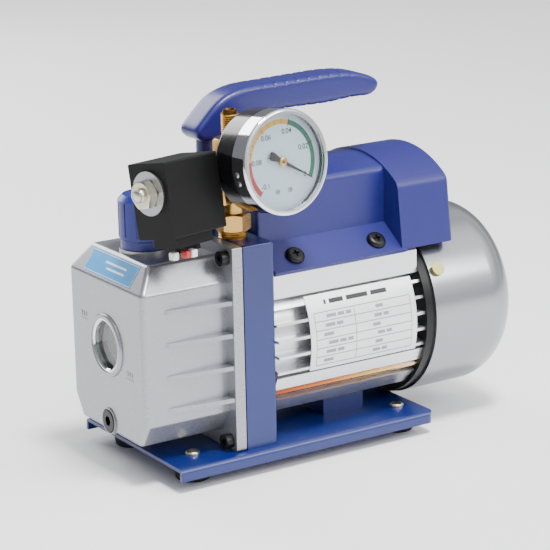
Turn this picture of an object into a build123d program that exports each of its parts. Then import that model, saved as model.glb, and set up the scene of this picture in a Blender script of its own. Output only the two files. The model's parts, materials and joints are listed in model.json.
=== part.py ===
"""Single-stage rotary vane vacuum pump with a vacuum gauge and an inlet solenoid valve.

Frame: +Z up, +X along the shaft from the oil tank to the motor, -Y the gauge side.
The origin is the centre of the four feet on the floor. Units are millimetres.
"""

import math
import os

from build123d import *

# ---------------------------------------------------------------- driving dimensions
SHAFT_Z = 73.6

BASE_LENGTH, BASE_WIDTH, BASE_TOP = 184.6, 119.0, 15.0
BASE_X0 = -96.0
BASE_SHEET, SKIRT_BOTTOM, SKIRT_BEND, BASE_CORNER = 2.2, 7.4, 3.0, 4.0
FOOT_X, FOOT_Y, FOOT_R, FOOT_TAPER = 75.5, 37.5, 10.4, 9.5
FOOT_TOP = BASE_TOP - BASE_SHEET

BLOCK_X0, BLOCK_T = -45.6, 21.8
BLOCK_HALF, BLOCK_TOP = 52.6, 142.2
BLOCK_X1 = BLOCK_X0 + BLOCK_T

GASKET_T = 0.8
FLANGE_T = 6.8
FLANGE_X1 = BLOCK_X0 - GASKET_T
FLANGE_X0 = FLANGE_X1 - FLANGE_T
TANK_X0 = -110.8
TANK_WALL = 4.0
TANK_HALF, TANK_TOP_HALF, TANK_BOTTOM_HALF = 44.8, 34.6, 35.6
TANK_Z = (25.3, 39.6, 120.0, 135.3)
TANK_NOSE = 11.1
TANK_BOLT_Y, TANK_BOLT_Z = 45.6, (21.2, 135.2)
RIB_Z = (48.0, 68.1, 88.2, 108.4)
RIB_X0, RIB_OUT, RIB_T = -97.0, 7.0, 2.6

SIGHT_Z, SIGHT_BOSS_R, SIGHT_HOLE_R, SIGHT_LENS_R = 80.4, 19.6, 16.6, 14.4
DRAIN_Z, DRAIN_R, DRAIN_HEAD = 32.6, 5.0, 7.2
CAP_X, CAP_R, CAP_TOP = -82.0, 15.6, 170.0
CAP_THREAD_R, CAP_THREAD_L = 11.0, 9.0

STATOR_R, STATOR_L, STATOR_BORE_R = 29.0, 32.0, 20.0
ROTOR_R = 16.7
ECCENTRICITY = STATOR_BORE_R - ROTOR_R - 0.3
END_PLATE_T = 6.0
VANE_T, VANE_IN, SLOT_BOTTOM = 3.2, 6.4, 4.4
JOURNAL_R, SHAFT_R = 6.0, 6.0
RUNNING = 0.04

FRAME_X0, FRAME_X1 = BLOCK_X1, 84.5
FIN_TIP_R, FIN_ROOT_R, FRAME_BORE_R = 56.0, 47.5, 43.0
FIN_ANGLES, FIN_T = (-15.0, -4.5, 6.0, 16.5, 27.0), 1.8
ROD_ANGLE, ROD_RADIUS, ROD_R = 32.4, 53.3, 2.5
CORE_X0, CORE_X1, CORE_BORE_R, AIR_GAP = -2.0, 56.0, 25.0, 0.4
BELL_X1, BELL_RIM_X = 91.0, 102.0
BEARING_R, BEARING_W = 16.0, 10.0
FAN_SCREW_X = 97.0
FAN_COVER_R, FAN_COVER_X1, FAN_COVER_ROUND, FAN_COVER_T = 59.8, 160.5, 24.0, 1.5

COVER_X0, COVER_STEP_X, COVER_X1 = -21.0, 72.5, 112.0
COVER_T = 3.0
COVER_SCREW_X, COVER_SCREW_Y = (-2.0, 58.0), 41.0

VALVE_X, VALVE_Y, VALVE_YAW = -38.5, -30.0, 13.0
VALVE_Z = (166.0, 194.0)
COIL_Z, COIL_NEAR, COIL_FAR = 181.0, 24.5, 65.5
COIL_W, COIL_H, COIL_DROP, COIL_ROLL = 31.4, 44.5, 5.0, 10.0
PORT_THREAD_R, PORT_TOP = 5.55, 220.0

GAUGE_FRONT, GAUGE_YAW, GAUGE_TILT = (-25.6, -71.5, 193.4), 6.0, 6.0
GAUGE_R, BEZEL_DEPTH, GAUGE_DEPTH = 31.3, 12.0, 29.5

HANDLE_W, HANDLE_POST_X, HANDLE_POST_R = 22.0, -38.5, 5.3

os.makedirs("parts", exist_ok=True)


def across(x):
    """Sketch plane square to the shaft at x: sketch +X is row +Y and sketch +Y is row +Z."""
    return Plane(origin=(x, 0, 0), x_dir=(0, 1, 0), z_dir=(1, 0, 0))


def turned(origin, yaw, tilt=0.0, roll=0.0):
    """A plane facing -Y, yawed towards +X and tilted up: its x runs along +X, its z outwards."""
    a, t = math.radians(yaw), math.radians(tilt)
    facing = (math.sin(a) * math.cos(t), -math.cos(a) * math.cos(t), math.sin(t))
    plane = Plane(origin=origin, x_dir=(math.cos(a), math.sin(a), 0), z_dir=facing)
    return plane.rotated((0, 0, roll))


GAUGE = turned(GAUGE_FRONT, GAUGE_YAW, GAUGE_TILT)
VALVE_DIR = Vector(math.cos(math.radians(VALVE_YAW)), math.sin(math.radians(VALVE_YAW)), 0)
VALVE_SIDE = Vector(VALVE_DIR.Y, -VALVE_DIR.X, 0)
# Coil axis plane: z runs from the valve out along the coil, towards the tank end.
_roll = math.radians(COIL_ROLL)
COIL_ACROSS = VALVE_SIDE * math.cos(_roll) + Vector(0, 0, 1) * math.sin(_roll)


def coil_plane(distance):
    """Plane square to the coil's axis, `distance` out from the inlet column."""
    centre = Vector(VALVE_X, VALVE_Y, COIL_Z) - VALVE_DIR * distance
    return Plane(origin=centre, x_dir=COIL_ACROSS, z_dir=-VALVE_DIR)


def valve_plane(z):
    """Horizontal plane on the inlet column, turned with the valve."""
    return Plane(origin=(VALVE_X, VALVE_Y, z), x_dir=VALVE_DIR, z_dir=(0, 0, 1))


def save(builder, name):
    builder.part.label = name
    export_step(builder.part, f"parts/{name}.step")


LEDGE = ((49.5, 120.8), (29.5, 134.9))


def ledge_plane(x, side, lift=0.0):
    """Plane on the sloping ledge of the cover, at a cover screw."""
    (y0, z0), (y1, z1) = LEDGE
    run, rise = y0 - y1, z1 - z0
    length = math.hypot(run, rise)
    facing = Vector(0, side * rise / length, run / length)
    point = Vector(x, side * COVER_SCREW_Y, z0 + (y0 - COVER_SCREW_Y) * rise / run)
    return Plane(origin=point + facing * lift, x_dir=(1, 0, 0), z_dir=facing)


FEET = [(sx * FOOT_X, sy * FOOT_Y) for sx in (-1, 1) for sy in (-1, 1)]
TANK_BOLTS = [(sy * TANK_BOLT_Y, z) for sy in (-1, 1) for z in TANK_BOLT_Z]
_rod = math.radians(ROD_ANGLE)
RODS = [
    (sy * ROD_RADIUS * math.cos(_rod), SHAFT_Z - ROD_RADIUS * math.sin(_rod)) for sy in (-1, 1)
] + [(sy * 22.0, SHAFT_Z + 48.5) for sy in (-1, 1)]

# ================================================================ base and feet
with BuildPart() as base_plate:
    with BuildSketch(across(BASE_X0)):
        with Locations((0, (BASE_TOP + SKIRT_BOTTOM) / 2)):
            Rectangle(BASE_WIDTH, BASE_TOP - SKIRT_BOTTOM)
        with Locations((0, (FOOT_TOP + SKIRT_BOTTOM) / 2)):
            Rectangle(BASE_WIDTH - 2 * BASE_SHEET, FOOT_TOP - SKIRT_BOTTOM, mode=Mode.SUBTRACT)
    extrude(amount=BASE_LENGTH)
    fillet(base_plate.faces().sort_by(Axis.Z)[-1].edges().filter_by(Axis.X), SKIRT_BEND)
    with BuildSketch(Plane.XY) as outline:
        with Locations((BASE_X0 + BASE_LENGTH / 2, 0)):
            Rectangle(BASE_LENGTH, BASE_WIDTH)
        fillet(outline.vertices().group_by(Axis.X)[-1], BASE_CORNER)
    extrude(amount=BASE_TOP, mode=Mode.INTERSECT)
    with Locations(*[Pos(x, y, FOOT_TOP) for x, y in FEET]):
        Cylinder(2.6, 4 * BASE_SHEET, mode=Mode.SUBTRACT)
save(base_plate, "base_plate")

with BuildPart() as rubber_feet:
    for x, y in FEET:
        with BuildSketch(Plane.XY):
            with Locations((x, y)):
                Circle(FOOT_R)
        extrude(amount=FOOT_TOP, taper=-FOOT_TAPER)
    fillet(rubber_feet.edges().filter_by(GeomType.CIRCLE).group_by(Axis.Z)[0], 1.5)
    with Locations(*[Pos(x, y, FOOT_TOP / 2 + 1.0) for x, y in FEET]):
        Cylinder(2.6, FOOT_TOP, mode=Mode.SUBTRACT)
save(rubber_feet, "rubber_feet")

with BuildPart() as foot_screws:
    for x, y in FEET:
        with Locations(Pos(x, y, BASE_TOP)):
            Cylinder(4.4, 2.0, align=(Align.CENTER, Align.CENTER, Align.MIN))
            Cylinder(2.55, 12.0, align=(Align.CENTER, Align.CENTER, Align.MAX))
    fillet(foot_screws.edges().filter_by(GeomType.CIRCLE).group_by(Axis.Z)[-1], 1.4)
    with Locations(*[Pos(x, y, BASE_TOP + 1.6) for x, y in FEET]):
        Box(4.2, 0.9, 1.4, mode=Mode.SUBTRACT)
        Box(0.9, 4.2, 1.4, mode=Mode.SUBTRACT)
save(foot_screws, "foot_screws")

# ================================================================ pump block
SEAL_X0, BEARING_X0 = -38.0, -31.0
SEAL_R = 11.0
with BuildPart() as pump_block:
    with BuildSketch(across(BLOCK_X0)):
        with Locations((0, (BASE_TOP + BLOCK_TOP) / 2)):
            Rectangle(2 * BLOCK_HALF, BLOCK_TOP - BASE_TOP)
    extrude(amount=BLOCK_T)
    fillet(pump_block.edges().filter_by(Axis.X).group_by(Axis.Z)[-1], 1.5)
    fillet(pump_block.edges().filter_by(Axis.Z).group_by(Axis.X)[-1], 2.0)
    for x0, x1, radius in (
        (BLOCK_X0, BLOCK_X1, JOURNAL_R + RUNNING),
        (SEAL_X0, BLOCK_X1, SEAL_R),
        (BEARING_X0, BLOCK_X1, BEARING_R),
    ):
        with BuildSketch(across(x0)):
            with Locations((0, SHAFT_Z)):
                Circle(radius)
        extrude(amount=x1 - x0, mode=Mode.SUBTRACT)
    with Locations(Pos(VALVE_X, VALVE_Y, BLOCK_TOP)):
        Cylinder(6.6, 12.0, align=(Align.CENTER, Align.CENTER, Align.MAX), mode=Mode.SUBTRACT)
        Cylinder(3.0, 42.0, align=(Align.CENTER, Align.CENTER, Align.MAX), mode=Mode.SUBTRACT)
    with BuildSketch(across(BLOCK_X0)):
        with Locations(*TANK_BOLTS):
            Circle(2.55)
    extrude(amount=12.0, mode=Mode.SUBTRACT)
    with Locations(Pos(HANDLE_POST_X, 0, BLOCK_TOP)):
        Cylinder(4.0, 14.0, align=(Align.CENTER, Align.CENTER, Align.MAX), mode=Mode.SUBTRACT)
save(pump_block, "pump_block")

# ================================================================ oil tank
TANK_SECTION = [
    (TANK_HALF, TANK_Z[1]),
    (TANK_HALF, TANK_Z[2]),
    (TANK_TOP_HALF, TANK_Z[3]),
    (-TANK_TOP_HALF, TANK_Z[3]),
    (-TANK_HALF, TANK_Z[2]),
    (-TANK_HALF, TANK_Z[1]),
    (-TANK_BOTTOM_HALF, TANK_Z[0]),
    (TANK_BOTTOM_HALF, TANK_Z[0]),
]
FLANGE_Z = (BASE_TOP + 0.3, BLOCK_TOP)

# hollow of the tank, one wall inside its outer skin
CAVITY_NOSE = (12.6, 9.1)
with BuildPart() as tank_cavity:
    with BuildSketch(across(TANK_X0 + TANK_WALL)):
        with BuildLine():
            Polyline(*TANK_SECTION, close=True)
        make_face()
        offset(amount=-TANK_WALL, mode=Mode.REPLACE)
    extrude(amount=FLANGE_X1 - TANK_X0)
    cavity_front = tank_cavity.faces().sort_by(Axis.X)[0]
    chamfer(cavity_front.edges().sort_by(Axis.Z)[-1], *CAVITY_NOSE, reference=cavity_front)

with BuildPart() as oil_tank:
    with BuildSketch(across(TANK_X0)):
        with BuildLine():
            Polyline(*TANK_SECTION, close=True)
        make_face()
    extrude(amount=FLANGE_X1 - TANK_X0)
    nose = oil_tank.faces().sort_by(Axis.X)[0].edges().sort_by(Axis.Z)[-1]
    chamfer(nose, TANK_Z[3] - TANK_Z[2], TANK_NOSE,
            reference=oil_tank.faces().sort_by(Axis.X)[0])
    long_edges = oil_tank.edges().filter_by(Axis.X)
    front_edges = oil_tank.faces().sort_by(Axis.X)[0].edges()
    nose_edges = [e for e in oil_tank.edges()
                  if e.center().X < TANK_X0 + TANK_NOSE + 1 and e.center().Z > TANK_Z[2] + 1]
    fillet([*long_edges, *front_edges, *nose_edges], 3.4)
    with BuildSketch(across(FLANGE_X0)):
        with Locations((0, sum(FLANGE_Z) / 2)):
            RectangleRounded(2 * BLOCK_HALF, FLANGE_Z[1] - FLANGE_Z[0], 1.5)
    extrude(amount=FLANGE_T)
    # side ribs, rising towards the flange
    for side in (-1, 1):
        for z in RIB_Z:
            with BuildSketch(Plane.XY.offset(z - RIB_T / 2)):
                with BuildLine():
                    Polyline(
                        (RIB_X0, side * (TANK_HALF - 0.5)),
                        (RIB_X0 + 3.0, side * (TANK_HALF + 1.2)),
                        (FLANGE_X0 + 0.5, side * (TANK_HALF + RIB_OUT)),
                        (FLANGE_X0 + 0.5, side * (TANK_HALF - 0.5)),
                        close=True,
                    )
                make_face()
            extrude(amount=RIB_T, taper=4)
    # bosses: sight glass, drain, filler
    with BuildSketch(across(TANK_X0 - 1.6)):
        with Locations((0, SIGHT_Z)):
            Circle(SIGHT_BOSS_R)
    extrude(amount=10.0)
    fillet(oil_tank.faces().sort_by(Axis.X)[0].edges(), 1.4)
    with BuildSketch(across(TANK_X0 - 0.9)):
        with Locations((0, DRAIN_Z)):
            Circle(DRAIN_HEAD + 1.0)
    extrude(amount=12.0)
    with BuildSketch(Plane.XY.offset(TANK_Z[3] - 6.0)):
        with Locations((CAP_X, 0)):
            Circle(CAP_R)
    extrude(amount=8.1)
    # cavity, filled again behind the two front bosses
    add(tank_cavity.part, mode=Mode.SUBTRACT)
    for z, radius, depth in ((SIGHT_Z, SIGHT_BOSS_R, 9.0), (DRAIN_Z, DRAIN_HEAD + 1.4, 12.0)):
        with BuildSketch(across(TANK_X0 + 1.0)):
            with Locations((0, z)):
                Circle(radius)
        extrude(amount=depth - 1.0)
    # holes
    with BuildSketch(across(TANK_X0 - 3)):
        with Locations((0, SIGHT_Z)):
            Circle(SIGHT_HOLE_R)
    extrude(amount=9.5, mode=Mode.SUBTRACT)
    with BuildSketch(across(TANK_X0 - 3)):
        with Locations((0, SIGHT_Z)):
            Circle(SIGHT_LENS_R - 1.5)
    extrude(amount=20.0, mode=Mode.SUBTRACT)
    with BuildSketch(across(TANK_X0 - 3)):
        with Locations((0, DRAIN_Z)):
            Circle(DRAIN_R + 0.1)
    extrude(amount=20.0, mode=Mode.SUBTRACT)
    with BuildSketch(across(TANK_X0 - 3)):
        with Locations((0, DRAIN_Z)):
            Circle(DRAIN_HEAD + 0.35)
    extrude(amount=4.2, mode=Mode.SUBTRACT)
    with Locations(Pos(CAP_X, 0, TANK_Z[3])):
        Cylinder(CAP_THREAD_R + 0.1, 20.0, mode=Mode.SUBTRACT)
    with BuildSketch(across(FLANGE_X0 - 1)):
        with Locations(*TANK_BOLTS):
            Circle(2.8)
    extrude(amount=FLANGE_T + 2, mode=Mode.SUBTRACT)
save(oil_tank, "oil_tank")

with BuildPart() as tank_gasket:
    with BuildSketch(across(FLANGE_X1)):
        with Locations((0, sum(FLANGE_Z) / 2)):
            RectangleRounded(2 * BLOCK_HALF - 1, FLANGE_Z[1] - FLANGE_Z[0] - 1, 1.5)
        with BuildLine():
            Polyline(*TANK_SECTION, close=True)
        make_face()
        with BuildSketch(across(FLANGE_X1), mode=Mode.PRIVATE) as gasket_window:
            with BuildLine():
                Polyline(*TANK_SECTION, close=True)
            make_face()
            offset(amount=-TANK_WALL, mode=Mode.REPLACE)
        add(gasket_window.sketch_local, mode=Mode.SUBTRACT)
        with Locations(*TANK_BOLTS):
            Circle(2.8, mode=Mode.SUBTRACT)
    extrude(amount=GASKET_T)
save(tank_gasket, "tank_gasket")

with BuildPart() as tank_bolts:
    for y, z in TANK_BOLTS:
        with BuildSketch(across(FLANGE_X0 - 5.0)):
            with Locations((y, z)):
                Circle(4.5)
                RegularPolygon(2.3, 6, mode=Mode.SUBTRACT)
        extrude(amount=3.0)
        with BuildSketch(across(FLANGE_X0 - 2.0)):
            with Locations((y, z)):
                Circle(4.5)
        extrude(amount=2.0)
        with BuildSketch(across(FLANGE_X0)):
            with Locations((y, z)):
                Circle(2.5)
        extrude(amount=17.0)
save(tank_bolts, "tank_bolts")

# ---- sight glass
SIGHT_SEAT_X = TANK_X0 + 6.5
with BuildPart() as sight_glass:
    with BuildSketch(across(SIGHT_SEAT_X - 4.2)):
        with Locations((0, SIGHT_Z)):
            Circle(SIGHT_HOLE_R - 0.5)
    extrude(amount=4.2)
save(sight_glass, "sight_glass")

with BuildPart() as sight_ring:
    with BuildSketch(across(TANK_X0 - 1.0)):
        with Locations((0, SIGHT_Z)):
            Circle(SIGHT_HOLE_R - 0.05)
            Circle(SIGHT_LENS_R, mode=Mode.SUBTRACT)
    extrude(amount=SIGHT_SEAT_X - 4.2 - TANK_X0 + 1.0)
    chamfer(sight_ring.faces().sort_by(Axis.X)[0].edges().sort_by(SortBy.LENGTH)[0], 0.9)
save(sight_ring, "sight_glass_ring")

with BuildPart() as drain_plug:
    with BuildSketch(across(TANK_X0 - 1.4)):
        with Locations((0, DRAIN_Z)):
            Circle(DRAIN_HEAD)
    extrude(amount=2.3)
    fillet(drain_plug.faces().sort_by(Axis.X)[0].edges(), 0.7)
    with BuildSketch(across(TANK_X0)):
        with Locations((0, DRAIN_Z)):
            Circle(DRAIN_R)
    extrude(amount=8.0)
    with BuildSketch(across(TANK_X0 - 3.0)):
        with Locations((0, DRAIN_Z)):
            RegularPolygon(3.3, 6)
    extrude(amount=6.5, mode=Mode.SUBTRACT)
save(drain_plug, "drain_plug")

# ---- oil fill cap, which is also the exhaust
CAP_Z0 = TANK_Z[3] + 0.8
with BuildPart() as fill_cap:
    with BuildSketch(Plane.XZ):
        with BuildLine():
            Polyline(
                (CAP_X + 5.5, CAP_Z0 - CAP_THREAD_L),
                (CAP_X + CAP_THREAD_R, CAP_Z0 - CAP_THREAD_L),
                (CAP_X + CAP_THREAD_R, CAP_Z0 + 1.4),
                (CAP_X + CAP_R - 1.0, CAP_Z0 + 1.4),
                (CAP_X + CAP_R - 1.0, CAP_Z0 + 6.6),
                (CAP_X + CAP_R, CAP_Z0 + 7.4),
                (CAP_X + CAP_R, CAP_TOP - 3.2),
                (CAP_X + CAP_R - 3.0, CAP_TOP),
                (CAP_X, CAP_TOP),
                (CAP_X, CAP_TOP - 3.0),
                (CAP_X + 5.5, CAP_TOP - 3.0),
                close=True,
            )
        make_face()
    revolve(axis=Axis((CAP_X, 0, 0), (0, 0, 1)))
    # breather slots under the cap's brim and the grip flats
    with Locations(Pos(CAP_X, 0, CAP_Z0 + 7.4)):
        with PolarLocations(CAP_R, 6, start_angle=30):
            Box(1.6, 9.0, 1.2, mode=Mode.SUBTRACT)
    with Locations(Pos(CAP_X, 0, (CAP_Z0 + 9.5 + CAP_TOP - 4.0) / 2)):
        with PolarLocations(CAP_R + 0.2, 12, start_angle=15):
            Box(1.2, 1.6, CAP_TOP - 4.0 - CAP_Z0 - 9.5, mode=Mode.SUBTRACT)
save(fill_cap, "fill_cap")

# ================================================================ pump cartridge
STATOR_X0 = BLOCK_X0 - STATOR_L
BORE_Z = SHAFT_Z - ECCENTRICITY

with BuildPart() as pump_stator:
    with BuildSketch(across(STATOR_X0)):
        with Locations((0, BORE_Z)):
            Circle(STATOR_R)
            Circle(STATOR_BORE_R, mode=Mode.SUBTRACT)
            with PolarLocations(24.6, 4, start_angle=45):
                Circle(2.3, mode=Mode.SUBTRACT)
    extrude(amount=STATOR_L)
    # discharge port through the wall, and a flat for the reed valve
    with Locations(Pos(STATOR_X0 + STATOR_L / 2, 13.0, BORE_Z + 20.0)):
        Cylinder(2.0, 14.0, rotation=(0, 0, 0), mode=Mode.SUBTRACT)
    with Locations(Pos(STATOR_X0 + STATOR_L / 2, 16.0, BORE_Z + STATOR_R - 1.0)):
        Box(20.0, 26.0, 10.0, mode=Mode.SUBTRACT)
save(pump_stator, "pump_stator")

REED_Z = BORE_Z + STATOR_R - 6.0
with BuildPart() as discharge_reed:
    with Locations(Pos(STATOR_X0 + STATOR_L / 2, 11.5, REED_Z)):
        Box(8.0, 14.0, 0.3, align=(Align.CENTER, Align.CENTER, Align.MIN))
save(discharge_reed, "discharge_reed")

with BuildPart() as reed_stop:
    with Locations(Pos(STATOR_X0 + STATOR_L / 2, 11.5, REED_Z + 0.3)):
        Box(8.0, 14.0, 1.6, align=(Align.CENTER, Align.CENTER, Align.MIN))
    with Locations(Pos(STATOR_X0 + STATOR_L / 2, 14.5, REED_Z + 1.9)):
        Cylinder(2.6, 2.0, align=(Align.CENTER, Align.CENTER, Align.MIN))
save(reed_stop, "reed_stop")

with BuildPart() as pump_end_plate:
    with BuildSketch(across(STATOR_X0 - END_PLATE_T)):
        with Locations((0, BORE_Z)):
            Circle(STATOR_R)
            with PolarLocations(24.6, 4, start_angle=45):
                Circle(2.3, mode=Mode.SUBTRACT)
        with Locations((0, SHAFT_Z)):
            Circle(JOURNAL_R + RUNNING, mode=Mode.SUBTRACT)
    extrude(amount=END_PLATE_T)
save(pump_end_plate, "pump_end_plate")

with BuildPart() as cartridge_bolts:
    with BuildSketch(across(STATOR_X0 - END_PLATE_T)):
        with Locations((0, BORE_Z)):
            with PolarLocations(24.6, 4, start_angle=45):
                Circle(2.2)
    extrude(amount=END_PLATE_T + STATOR_L)
    with BuildSketch(across(STATOR_X0 - END_PLATE_T - 3.0)):
        with Locations((0, BORE_Z)):
            with PolarLocations(24.6, 4, start_angle=45):
                Circle(3.8)
    extrude(amount=3.0)
save(cartridge_bolts, "cartridge_bolts")

ROTOR_X0, ROTOR_X1 = STATOR_X0 + 0.15, BLOCK_X0 - 0.15
COUPLING_X = -39.0
with BuildPart() as pump_rotor:
    for x0, x1, radius in (
        (ROTOR_X0, ROTOR_X1, ROTOR_R),
        (STATOR_X0 - END_PLATE_T + 0.5, ROTOR_X0, JOURNAL_R),
        (ROTOR_X1, COUPLING_X, JOURNAL_R),
    ):
        with BuildSketch(across(x0)):
            with Locations((0, SHAFT_Z)):
                Circle(radius)
        extrude(amount=x1 - x0)
    slot_mid = (SLOT_BOTTOM + ROTOR_R + 2) / 2
    for side in (-1, 1):
        with Locations(Pos((ROTOR_X0 + ROTOR_X1) / 2, side * slot_mid, SHAFT_Z)):
            Box(ROTOR_X1 - ROTOR_X0, ROTOR_R + 2 - SLOT_BOTTOM, VANE_T + 2 * RUNNING,
                mode=Mode.SUBTRACT)
    with Locations(Pos(COUPLING_X, 0, SHAFT_Z)):
        Box(8.0, 14.0, 4.1, mode=Mode.SUBTRACT)
save(pump_rotor, "pump_rotor")

VANE_OUT = ROTOR_R - 0.15
for name, side in (("vane_left", -1), ("vane_right", 1)):
    with BuildPart() as vane:
        with Locations(Pos((ROTOR_X0 + ROTOR_X1) / 2, side * (VANE_IN + VANE_OUT) / 2, SHAFT_Z)):
            Box(ROTOR_X1 - ROTOR_X0 - 0.2, VANE_OUT - VANE_IN, VANE_T)
    save(vane, name)

with BuildPart() as shaft_seal:
    with BuildSketch(across(SEAL_X0)):
        with Locations((0, SHAFT_Z)):
            Circle(SEAL_R)
            Circle(SHAFT_R + RUNNING, mode=Mode.SUBTRACT)
    extrude(amount=BEARING_X0 - SEAL_X0)
save(shaft_seal, "shaft_seal")

# ================================================================ motor
BELL_BEARING_X0 = 80.0
for name, x0 in (("front_bearing", BEARING_X0), ("rear_bearing", BELL_BEARING_X0)):
    with BuildPart() as bearing:
        with BuildSketch(across(x0)):
            with Locations((0, SHAFT_Z)):
                Circle(BEARING_R)
                Circle(SHAFT_R + RUNNING, mode=Mode.SUBTRACT)
        extrude(amount=BEARING_W)
        for x in (x0, x0 + BEARING_W - 0.6):
            with BuildSketch(across(x)):
                with Locations((0, SHAFT_Z)):
                    Circle(BEARING_R - 3.0)
                    Circle(SHAFT_R + 2.6, mode=Mode.SUBTRACT)
            extrude(amount=0.6, mode=Mode.SUBTRACT)
    save(bearing, name)

FAN_X0, FAN_X1 = 97.0, 119.0
with BuildPart() as motor_shaft:
    with BuildSketch(across(COUPLING_X)):
        with Locations((0, SHAFT_Z)):
            Circle(SHAFT_R)
    extrude(amount=FAN_X1 + 1.0 - COUPLING_X)
    with Locations(Pos(COUPLING_X - 1.6, 0, SHAFT_Z)):
        Box(3.4, 11.0, 3.9)
save(motor_shaft, "motor_shaft")

RAIL = [(36.0, 104.0), (47.2, 104.0), (47.2, 118.5), (27.5, 132.4), (20.0, 126.0)]
PAD_ANGLES = ((-27.5, -18.5), (-53.0, -38.0))
with BuildPart() as motor_frame:
    with BuildSketch(across(FRAME_X0)):
        with Locations((0, SHAFT_Z)):
            Circle(FIN_ROOT_R)
        for side in (-1, 1):
            for angle in FIN_ANGLES:
                turn = math.radians(angle)
                middle_r = (FIN_ROOT_R - 1 + FIN_TIP_R) / 2
                spot = (side * middle_r * math.cos(turn), SHAFT_Z + middle_r * math.sin(turn))
                with Locations(spot):
                    Rectangle(FIN_TIP_R - FIN_ROOT_R + 1, FIN_T, rotation=side * angle)
            for low, high in PAD_ANGLES:
                pad = [(FIN_ROOT_R - 1, low), (FIN_TIP_R, low), (FIN_TIP_R, high),
                       (FIN_ROOT_R - 1, high)]
                with BuildLine():
                    Polyline(*[(side * r * math.cos(math.radians(a)),
                                SHAFT_Z + r * math.sin(math.radians(a))) for r, a in pad],
                             close=True)
                make_face()
            with BuildLine():
                Polyline(*[(side * y, z) for y, z in RAIL], close=True)
            make_face()
        for angle in (-66.0, -78.0, -90.0, -102.0, -114.0):
            turn = math.radians(angle)
            middle_r = (FIN_ROOT_R - 1 + 54.0) / 2
            with Locations((middle_r * math.cos(turn), SHAFT_Z + middle_r * math.sin(turn))):
                Rectangle(54.0 - FIN_ROOT_R + 1, FIN_T, rotation=angle)
        with Locations((0, SHAFT_Z)):
            Circle(FRAME_BORE_R, mode=Mode.SUBTRACT)
        with Locations(*RODS[2:]):
            Circle(ROD_R + 0.4, mode=Mode.SUBTRACT)
    extrude(amount=FRAME_X1 - FRAME_X0)
    for x in COVER_SCREW_X:
        for side in (-1, 1):
            with BuildSketch(ledge_plane(x, side)):
                Circle(2.05)
            extrude(amount=-16.0, mode=Mode.SUBTRACT)
save(motor_frame, "motor_frame")

with BuildPart() as motor_core:
    with BuildSketch(across(CORE_X0)):
        with Locations((0, SHAFT_Z)):
            Circle(FRAME_BORE_R)
            Circle(CORE_BORE_R, mode=Mode.SUBTRACT)
            with PolarLocations(31.0, 12):
                Rectangle(9.0, 5.0, mode=Mode.SUBTRACT)
    extrude(amount=CORE_X1 - CORE_X0)
save(motor_core, "motor_stator_core")

with BuildPart() as windings:
    with BuildSketch(across(CORE_X0)):
        with Locations((0, SHAFT_Z)):
            with PolarLocations(31.0, 12):
                Rectangle(8.6, 4.6)
    extrude(amount=CORE_X1 - CORE_X0)
    for x0 in (CORE_X0 - 12.0, CORE_X1):
        with BuildSketch(across(x0)):
            with Locations((0, SHAFT_Z)):
                Circle(37.0)
                Circle(CORE_BORE_R + 1.0, mode=Mode.SUBTRACT)
        extrude(amount=12.0)
save(windings, "motor_windings")

with BuildPart() as motor_rotor:
    with BuildSketch(across(CORE_X0)):
        with Locations((0, SHAFT_Z)):
            Circle(CORE_BORE_R - AIR_GAP)
            Circle(SHAFT_R, mode=Mode.SUBTRACT)
    extrude(amount=CORE_X1 - CORE_X0)
    for x0 in (CORE_X0 - 6.0, CORE_X1):
        with BuildSketch(across(x0)):
            with Locations((0, SHAFT_Z)):
                Circle(CORE_BORE_R - 2.0)
                Circle(SHAFT_R + 8.0, mode=Mode.SUBTRACT)
        extrude(amount=6.0)
save(motor_rotor, "motor_rotor_core")

COVER_SCREWS = (31.0, 149.0, 270.0)


def rim_plane(angle):
    """Plane on the fan cover's rim at a screw, facing out."""
    turn = math.radians(angle)
    out = Vector(0, math.cos(turn), math.sin(turn))
    return Plane(origin=Vector(FAN_SCREW_X, 0, SHAFT_Z) + out * FAN_COVER_R,
                 x_dir=(1, 0, 0), z_dir=out)


with BuildPart() as end_bell:
    with BuildSketch(across(FRAME_X1)):
        with Locations((0, SHAFT_Z)):
            Circle(FAN_COVER_R - FAN_COVER_T)
    extrude(amount=BELL_RIM_X - FRAME_X1)
    with BuildSketch(across(BELL_X1)):
        with Locations((0, SHAFT_Z)):
            Circle(52.0)
    extrude(amount=BELL_RIM_X - BELL_X1, mode=Mode.SUBTRACT)
    with BuildSketch(across(BELL_BEARING_X0 - 4.0)):
        with Locations((0, SHAFT_Z)):
            Circle(BEARING_R + 5.0)
    extrude(amount=FRAME_X1 - BELL_BEARING_X0 + 4.5)
    with BuildSketch(across(BELL_BEARING_X0 - 5.0)):
        with Locations((0, SHAFT_Z)):
            Circle(BEARING_R)
    extrude(amount=5.0 + BEARING_W, mode=Mode.SUBTRACT)
    with BuildSketch(across(FRAME_X0)):
        with Locations((0, SHAFT_Z)):
            Circle(SHAFT_R + 0.5)
        with Locations(*RODS):
            Circle(ROD_R)
    extrude(amount=BELL_RIM_X + 1 - FRAME_X0, mode=Mode.SUBTRACT)
    for angle in COVER_SCREWS:
        with BuildSketch(rim_plane(angle)):
            Circle(2.05)
        extrude(amount=-9.0, mode=Mode.SUBTRACT)
save(end_bell, "rear_end_bell")

with BuildPart() as through_bolts:
    with BuildSketch(across(FRAME_X0)):
        with Locations(*RODS):
            Circle(ROD_R)
    extrude(amount=BELL_X1 - FRAME_X0)
    with BuildSketch(across(BELL_X1)):
        with Locations(*RODS):
            Circle(ROD_R)
    extrude(amount=3.5)
save(through_bolts, "through_bolts")

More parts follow.
